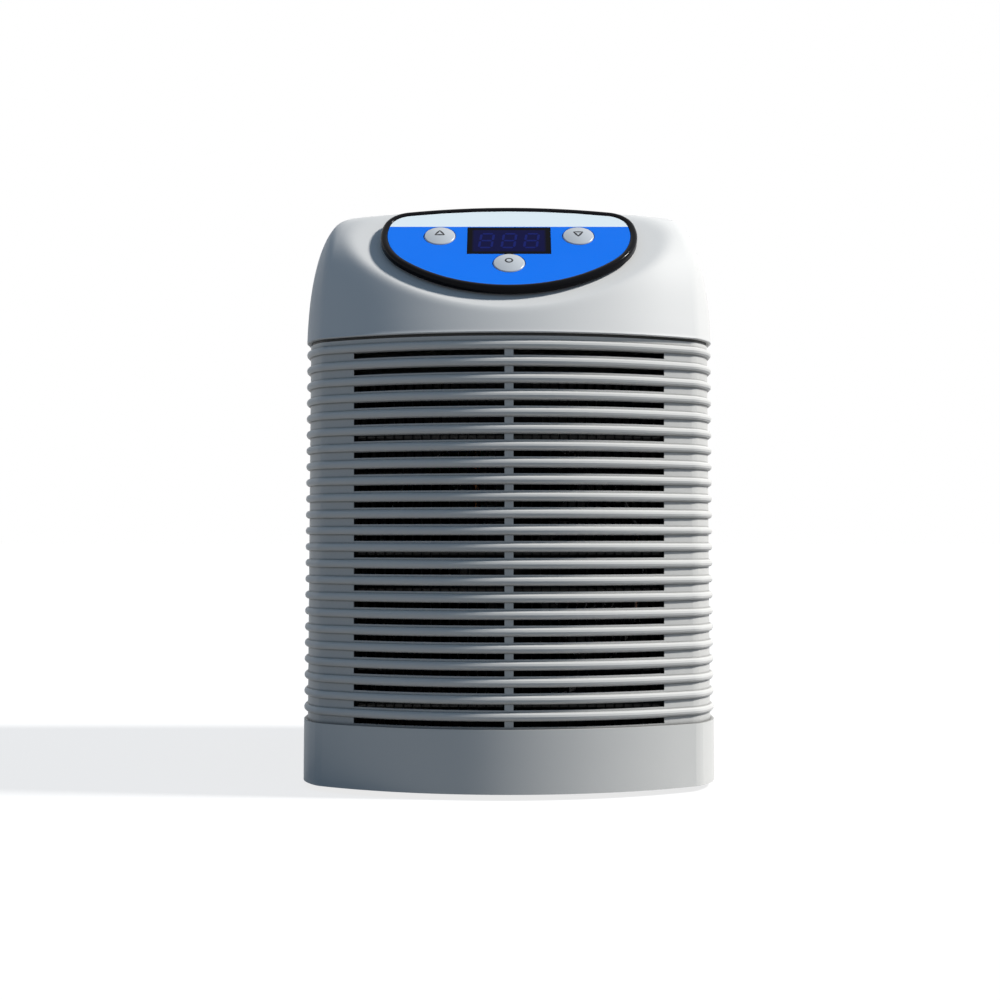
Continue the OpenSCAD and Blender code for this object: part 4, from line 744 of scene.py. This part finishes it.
class CHILLER_OT_stage(bpy.types.Operator):
    """Pale floor, soft key light, even sky and the camera at the photograph's viewing angle"""

    bl_idname = "chiller.stage"
    bl_label = "Stage and camera"

    def execute(self, context):
        scene = context.scene
        look = scene.chiller_light
        scene.view_settings.view_transform = "Standard"
        self.make_floor(look)
        self.make_world(scene, look)
        self.make_key(look)
        self.make_camera(scene, look)
        return {"FINISHED"}

    def make_floor(self, look):
        """A wide flat floor that takes the shadow and is seen almost white."""
        corners = look.floor_reach * np.array([[-1, -1, 0], [1, -1, 0], [1, 1, 0], [-1, 1, 0]])
        mesh = make_mesh("floor", corners, [np.arange(4)[None, :]])
        material, tree, shader, _ = start_finish("Pale floor")
        feed(tree, shader, {
            "Base Color": (*tones().floor, 1.0), "Roughness": 0.9, "Specular IOR Level": 0.0,
            "Emission Color": WHITE,
            "Emission Strength": maths(tree, "MULTIPLY", self.seen(tree), look.floor_glow)})
        mesh.materials.append(material)
        add_object("floor", mesh)

    def seen(self, tree):
        """One where a camera, mirror or glass ray arrives, and nought for light that lands."""
        rays = tree.nodes.new("ShaderNodeLightPath").outputs
        either = maths(tree, "MAXIMUM", rays["Is Camera Ray"], rays["Is Glossy Ray"])
        return maths(tree, "MAXIMUM", either, rays["Is Transmission Ray"])

    def make_world(self, scene, look):
        """Bluish light from all round, under a sky that is seen white."""
        world = bpy.data.worlds.new("Even sky")
        world.use_nodes = True
        tree = world.node_tree
        tree.nodes.clear()
        sky, white = (node(tree, "ShaderNodeBackground", {"Color": tone, "Strength": power})
                      for tone, power in (((*look.sky, 1.0), look.sky_strength), (WHITE, 1.0)))
        mix = node(tree, "ShaderNodeMixShader",
                   {0: self.seen(tree), 1: sky.outputs[0], 2: white.outputs[0]})
        node(tree, "ShaderNodeOutputWorld", {"Surface": mix.outputs[0]})
        scene.world = world

    def make_key(self, look):
        """A soft sun from the right."""
        lamp = bpy.data.lights.new("key_light", "SUN")
        lamp.energy = look.key_strength
        lamp.angle = look.key_spread
        lamp.color = look.key_colour
        key = add_object("key_light", lamp)
        level = math.cos(look.key_rise)
        towards = Vector((math.sin(look.key_side) * level, -math.cos(look.key_side) * level,
                          math.sin(look.key_rise)))
        key.location = towards * look.key_distance
        key.rotation_euler = towards.to_track_quat("Z", "Y").to_euler()

    def make_camera(self, scene, look):
        """The view of the photograph."""
        data = bpy.data.cameras.new("photo_view")
        data.lens, data.sensor_width = look.lens, look.sensor
        data.shift_x, data.shift_y = look.shift_x, look.shift_y
        data.clip_start, data.clip_end = 0.05, 200.0
        camera = add_object("photo_view", data)
        camera.location = (0.0, sizes().front_y - look.camera_distance, look.camera_height)
        camera.rotation_euler = (math.pi / 2, 0.0, 0.0)
        scene.camera = camera


class CHILLER_OT_housing(bpy.types.Operator):
    """Moulded finish of the ribbed front housing and the rear panel, kept as their CAD solids"""

    bl_idname = "chiller.housing"
    bl_label = "Housing"

    def execute(self, context):
        s = sizes()
        # Painted shade between the ribs and in the groove under the cover's lip.
        shell = moulded_plastic("Housing plastic", tones().shell, roughness=0.42, dust=0.10,
                                specular=0.2, valley_shade=0.8, painted_shade_over=s.foot + s.lip_z - s.groove)
        dress(shell, "front_housing", "rear_panel")
        return {"FINISHED"}


class CHILLER_OT_cover(bpy.types.Operator):
    """Smooth cover with elliptical shoulders and a sloping deck, cut out under the key panel"""

    bl_idname = "chiller.cover"
    bl_label = "Cover"

    def execute(self, context):
        s = sizes()
        lowest = -math.asin((s.dome_start - s.rounding) / s.dome_height)
        outer = cover_rings(np.linspace(lowest, math.pi / 2, detail().rolls)[1:], 0.0)
        inner = cover_rings(np.linspace(math.pi / 2, s.inner_start, detail().rolls // 4), s.wall)
        turn = np.linspace(math.pi / 2, 0.0, detail().lip)
        top, wide = s.lip_z + s.neck, s.wall + s.ledge
        rim = rim_rings([s.wall, wide, wide, s.wall, s.wall, *(s.rounding * (1 - np.cos(turn)))],
                        [top + s.ledge_height, top + s.ledge_height, top, top, s.lip_z,
                         *(s.lip_z + s.rounding * (1 - np.sin(turn)))])
        rings = in_housing(np.concatenate([inner, rim, outer], axis=0))
        finish = moulded_plastic("Cover plastic", tones().cover, roughness=0.5, dust=0.12,
                                 specular=0.12)
        cover = make_piece("cover_shell", rings, capped(*rings.shape[:2]), "cabinet",
                           finish, stands_for=("top_cover",))
        self.tidy(cover)
        self.cut_hole(cover)
        return {"FINISHED"}

    def tidy(self, cover):
        """Merges the points that fall together where the side arc shrinks to nothing."""
        weld = cover.modifiers.new("weld", "WELD")
        weld.merge_threshold = sizes().weld
        bake_modifiers(cover)

    def cut_hole(self, cover):
        """Cuts the deck along the panel's outline with a closed prism."""
        s = sizes()
        loop = pod_outline(np.array([-panel().hole]), detail().hole_arc)[0]
        points = on_deck(loop[:, 0], loop[:, 1], np.array([[-s.cut_below], [s.cut_above]]))
        cutter = add_object("cutter", make_mesh("cutter", points, capped(2, len(loop))))
        cut = cover.modifiers.new("panel_hole", "BOOLEAN")
        cut.operation, cut.solver, cut.object = "DIFFERENCE", "EXACT", cutter
        bake_modifiers(cover)
        bpy.data.objects.remove(cutter)


class CHILLER_OT_panel(bpy.types.Operator):
    """Glossy rim, printed film, dark window and the unlit digits behind it"""

    bl_idname = "chiller.panel"
    bl_label = "Key panel"

    def execute(self, context):
        self.make_rim()
        self.make_digits()
        dress(printed_film(), "panel_overlay")
        dress(smoked_window(), "display_window")
        dark = moulded_plastic("Panel plate plastic", tones().dark, roughness=0.5)
        dress(dark, "panel_plate", "display_module", "key_switches")
        return {"FINISHED"}

    def make_rim(self):
        """A profile with a half-round crest carried round the panel's outline."""
        p = panel()
        half = p.rim / 2
        a = np.linspace(0.0, math.pi / 2, detail().crest)
        b = a[1:]
        foot = p.gap - sizes().deck_drop
        grow = np.concatenate([
            [-p.ledge, -p.collar, -p.collar, -p.undercut, 0.0],
            -half * (1 - np.cos(a)), -half * (1 + np.sin(b)), [-p.rim, -p.rim, -p.ledge]])
        level = np.concatenate([
            [-p.drop, -p.drop, foot, foot, p.gap], p.height - half * (1 - np.sin(a)),
            p.height - half / 2 * (1 - np.cos(b)), [p.film, p.plate, p.plate]])
        loops = pod_outline(grow, detail().rim_arc)
        points = on_deck(loops[..., 0], loops[..., 1], level[:, None])
        faces = [ring_faces(len(grow), loops.shape[1], closed=True)]
        gloss = glossy_plastic("Rim gloss", tones().rim, roughness=0.12, specular=0.06)
        make_piece("panel_rim", points, faces, "cabinet", gloss,
                   stands_for=("panel_bezel",))

    def make_digits(self):
        """Three digits of seven six-sided bars, each a thin prism proud of the window's face."""
        p = panel()
        w = p.segment / 2
        half_w, half_h = (p.digit_width - p.segment) / 2, (p.digit_height - p.segment) / 2

        def bar(reach):
            """A level six-sided bar that comes to a point at each end."""
            return np.array([[-reach, 0], [w - reach, -w], [reach - w, -w], [reach, 0],
                             [reach - w, w], [w - reach, w]])

        level = bar(half_w * LEVEL_FILL)
        upright = bar((half_h - w) / 2 * UPRIGHT_FILL)[:, ::-1] * [-1, 1]
        bars = [level + [0, v] for v in (-half_h, 0, half_h)]
        bars += [upright + [u, v] for u in (-half_w, half_w) for v in (-half_h / 2, half_h / 2)]
        bars = np.array(bars)
        bars[..., 0] += bars[..., 1] * math.tan(p.digit_lean)
        shapes = np.concatenate([bars + [x * p.digit_pitch, 0.0] for x in (-1, 0, 1)])
        low, high = (on_deck(shapes[..., 0], shapes[..., 1] + p.window_up, p.window_top + lift)
                     for lift in (-p.digit_sunk, p.print_lift))
        points = np.stack([low, high], axis=1).reshape(-1, 3)
        first = 12 * np.arange(len(shapes))[:, None, None]
        faces = [(first + part).reshape(-1, part.shape[1]) for part in capped(2, 6)]
        unlit = glossy_plastic("Unlit digits", tones().digit, roughness=0.1, smear=0.05,
                               specular=0.03)
        make_piece("display_digits", points, faces, "cabinet", unlit)


class CHILLER_OT_keys(bpy.types.Operator):
    """Three domed keys with softly rounded rims, and their printed symbols"""

    bl_idname = "chiller.keys"
    bl_label = "Keys"

    def execute(self, context):
        p = panel()
        finish = moulded_plastic("Key plastic", tones().key, roughness=0.30, grain=4200.0,
                                 depth=0.00001, dust=0.08, specular=0.5)
        ink = glossy_plastic("Symbol ink", tones().symbol, roughness=0.3, smear=0.05, specular=0.3)
        for name, x, t, sides, turn in (("up_key", -p.key_x, p.keys_up, 3, 0.0),
                                        ("down_key", p.key_x, p.keys_up, 3, math.pi),
                                        ("set_key", 0.0, p.set_up, 0, 0.0)):
            self.make_key(name, x, t, finish)
            self.make_symbol(name, x, t, sides, turn, ink)
        return {"FINISHED"}

    def dome(self, radius):
        """Height over the deck of a key's dome at a distance from its middle: a shallow sphere."""
        p = panel()
        ball = (p.key_radius ** 2 + p.key_crown ** 2) / (2 * p.key_crown)
        return p.key_top + p.key_crown - ball + np.sqrt(ball ** 2 - radius ** 2)

    def make_key(self, name, x, t, finish):
        """A half profile turned round the key's axis: stem, flange, side, rounded rim and dome."""
        p = panel()
        step = p.plate - p.key_play
        floor = step - p.key_flange
        foot = floor - p.stem_height
        wide = p.key_radius + p.key_flange_width
        flat = p.key_radius - p.key_round
        inner = np.linspace(flat, p.key_pole, detail().dome)[1:]
        a = np.linspace(0.0, math.pi / 2, detail().edge)
        r = np.concatenate([[p.key_pole, p.stem_radius, p.stem_radius, wide, wide, p.key_radius],
                            flat + p.key_round * np.cos(a), inner])
        n = np.concatenate([[foot, foot, floor, floor, step, step],
                            self.dome(flat) + p.key_round * (np.sin(a) - 1), self.dome(inner)])
        turn = np.linspace(0.0, 2 * math.pi, detail().round, endpoint=False)
        points = on_deck(x + r[:, None] * np.cos(turn), t + r[:, None] * np.sin(turn), n[:, None])
        make_piece(name + "_cap", points, capped(len(r), len(turn)), name + "_body",
                   finish, stands_for=(name,))

    def make_symbol(self, name, x, t, sides, turn, ink):
        """A thin line round a rounded triangle, or round a ring, laid on the dome."""
        p = panel()
        a = np.linspace(0.0, 2 * math.pi, detail().round, endpoint=False)
        if sides:
            sector = 2 * math.pi / sides
            local = (a - math.pi / 2 - turn + sector / 2) % sector - sector / 2
            side = TRIANGLE_SIDE / np.cos(sector / 2 - np.abs(local))
            shape = p.symbol * np.minimum(side, TRIANGLE_TIP)
            line = p.symbol_line * TRIANGLE_LINE
        else:
            shape = np.full_like(a, p.symbol * RING_RADIUS)
            line = p.symbol_line * RING_LINE
        radius = np.stack([shape - line, shape + line, shape + line, shape - line])
        lift = np.repeat([-p.symbol_sunk, p.print_lift], 2)[:, None]
        px, pt = radius * np.cos(a), radius * np.sin(a) + p.symbol_shift
        points = on_deck(x + px, t + pt, self.dome(np.hypot(px, pt)) + lift)
        make_piece(name + "_symbol", points, [ring_faces(4, len(a), closed=True)], name + "_body",
                   ink)


class CHILLER_OT_cooling(bpy.types.Operator):
    """Finishes of the condenser, the fan, the compressor, the vessel and the copper lines"""

    bl_idname = "chiller.cooling"
    bl_label = "Cooling machinery"

    def execute(self, context):
        t = tones()
        # Painted shade in part: the condenser's fins are near black so the slots behind the louvres
        # read dark.
        dress(moulded_plastic("Fin black and slot shade", t.fin, roughness=0.6, dust=0.05, specular=0.1),
              "condenser_fins", "condenser_end_plates")
        dress(drawn_metal("Rolled aluminium", t.aluminium), "fan_motor")
        dress(drawn_metal("Copper tube", t.copper, tarnish=0.8, dark=0.3), "filter_drier",
              "capillary_tube", "discharge_line", "liquid_line", "suction_line")
        dress(drawn_metal("Titanium tube", t.titanium, roughness=0.34), "titanium_coil")
        dress(moulded_plastic("Dark plastic", t.dark, roughness=0.5), "fan_shroud", "fan_rotor",
              "terminal_cover", "exchanger_lid")
        # The condenser's tubes share the compressor's black: partly a guessed enamel, partly
        # painted shade in the slots behind the louvres.
        dress(moulded_plastic("Black enamel", t.enamel, roughness=0.28, grain=900.0, depth=0.00003),
              "condenser_tubes", "motor_bracket", "compressor", "compressor_base")
        dress(moulded_plastic("Natural plastic", t.vessel, roughness=0.4), "exchanger_vessel")
        dress(moulded_plastic("Soft rubber", t.rubber, roughness=0.75, grain=1400.0, specular=0.25),
              "compressor_grommets", "lid_seal", "port_seals", "feet")
        dress(drawn_metal("Zinc steel", t.steel, roughness=0.32, stretch=(1800.0, 300.0, 1800.0)),
              "compressor_studs", "lid_screws", "drier_clip", "temperature_probe", "board_screws",
              "panel_screws", "housing_screws")
        dress(drawn_metal("Dark zinc", tinted(t.steel, 0.12), roughness=0.45), "fan_shaft",
              "fan_nut")
        return {"FINISHED"}


class CHILLER_OT_fittings(bpy.types.Operator):
    """Finishes of the water ports, the power inlet, the tray and the circuit boards"""

    bl_idname = "chiller.fittings"
    bl_label = "Ports, inlet and boards"

    def execute(self, context):
        t = tones()
        dress(moulded_plastic("Port plastic", t.dark, roughness=0.38, dust=0.35),
              "water_inlet_port", "water_outlet_port", "port_nuts")
        dress(moulded_plastic("Inlet plastic", t.dark, roughness=0.3, grain=3200.0), "power_inlet")
        dress(moulded_plastic("Tray plastic", tinted(t.dark, 3.0), roughness=0.5), "base_tray")
        dress(drawn_metal("Pin metal", t.steel, roughness=0.2), "inlet_pins")
        dress(glossy_plastic("Solder mask", t.board, roughness=0.25), "control_board",
              "panel_board")
        dress(glossy_plastic("Relay case", t.relay, roughness=0.3), "relay")
        dress(drawn_metal("Laminated steel", t.winding, roughness=0.45,
                          stretch=(80.0, 80.0, 3000.0)), "transformer")
        return {"FINISHED"}


class CHILLER_PT_sidebar(bpy.types.Panel):
    """Lists the steps that dress the chiller"""

    bl_idname = "CHILLER_PT_sidebar"
    bl_label = "Chiller"
    bl_space_type = "VIEW_3D"
    bl_region_type = "UI"
    bl_category = "Chiller"

    def draw(self, context):
        column = self.layout.column(align=True)
        for step in STEPS:
            column.operator(step.bl_idname)


GROUPS = (("chiller_cover", ChillerCoverSizes), ("chiller_panel", ChillerPanelSizes),
          ("chiller_colours", ChillerColours), ("chiller_light", ChillerLight),
          ("chiller_detail", ChillerDetail))
STEPS = (CHILLER_OT_stage, CHILLER_OT_housing, CHILLER_OT_cover, CHILLER_OT_panel, CHILLER_OT_keys,
         CHILLER_OT_cooling, CHILLER_OT_fittings)


def register():
    for name, group in GROUPS:
        bpy.utils.register_class(group)
        setattr(bpy.types.Scene, name, PointerProperty(type=group))
    for step in STEPS:
        bpy.utils.register_class(step)
    bpy.utils.register_class(CHILLER_PT_sidebar)


def unregister():
    bpy.utils.unregister_class(CHILLER_PT_sidebar)
    for step in reversed(STEPS):
        bpy.utils.unregister_class(step)
    for name, group in reversed(GROUPS):
        delattr(bpy.types.Scene, name)
        bpy.utils.unregister_class(group)


def main():
    """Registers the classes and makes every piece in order."""
    register()
    bpy.ops.chiller.stage()
    bpy.ops.chiller.housing()
    bpy.ops.chiller.cover()
    bpy.ops.chiller.panel()
    bpy.ops.chiller.keys()
    bpy.ops.chiller.cooling()
    bpy.ops.chiller.fittings()
    bpy.context.view_layer.update()


if __name__ == "__main__":
    main()
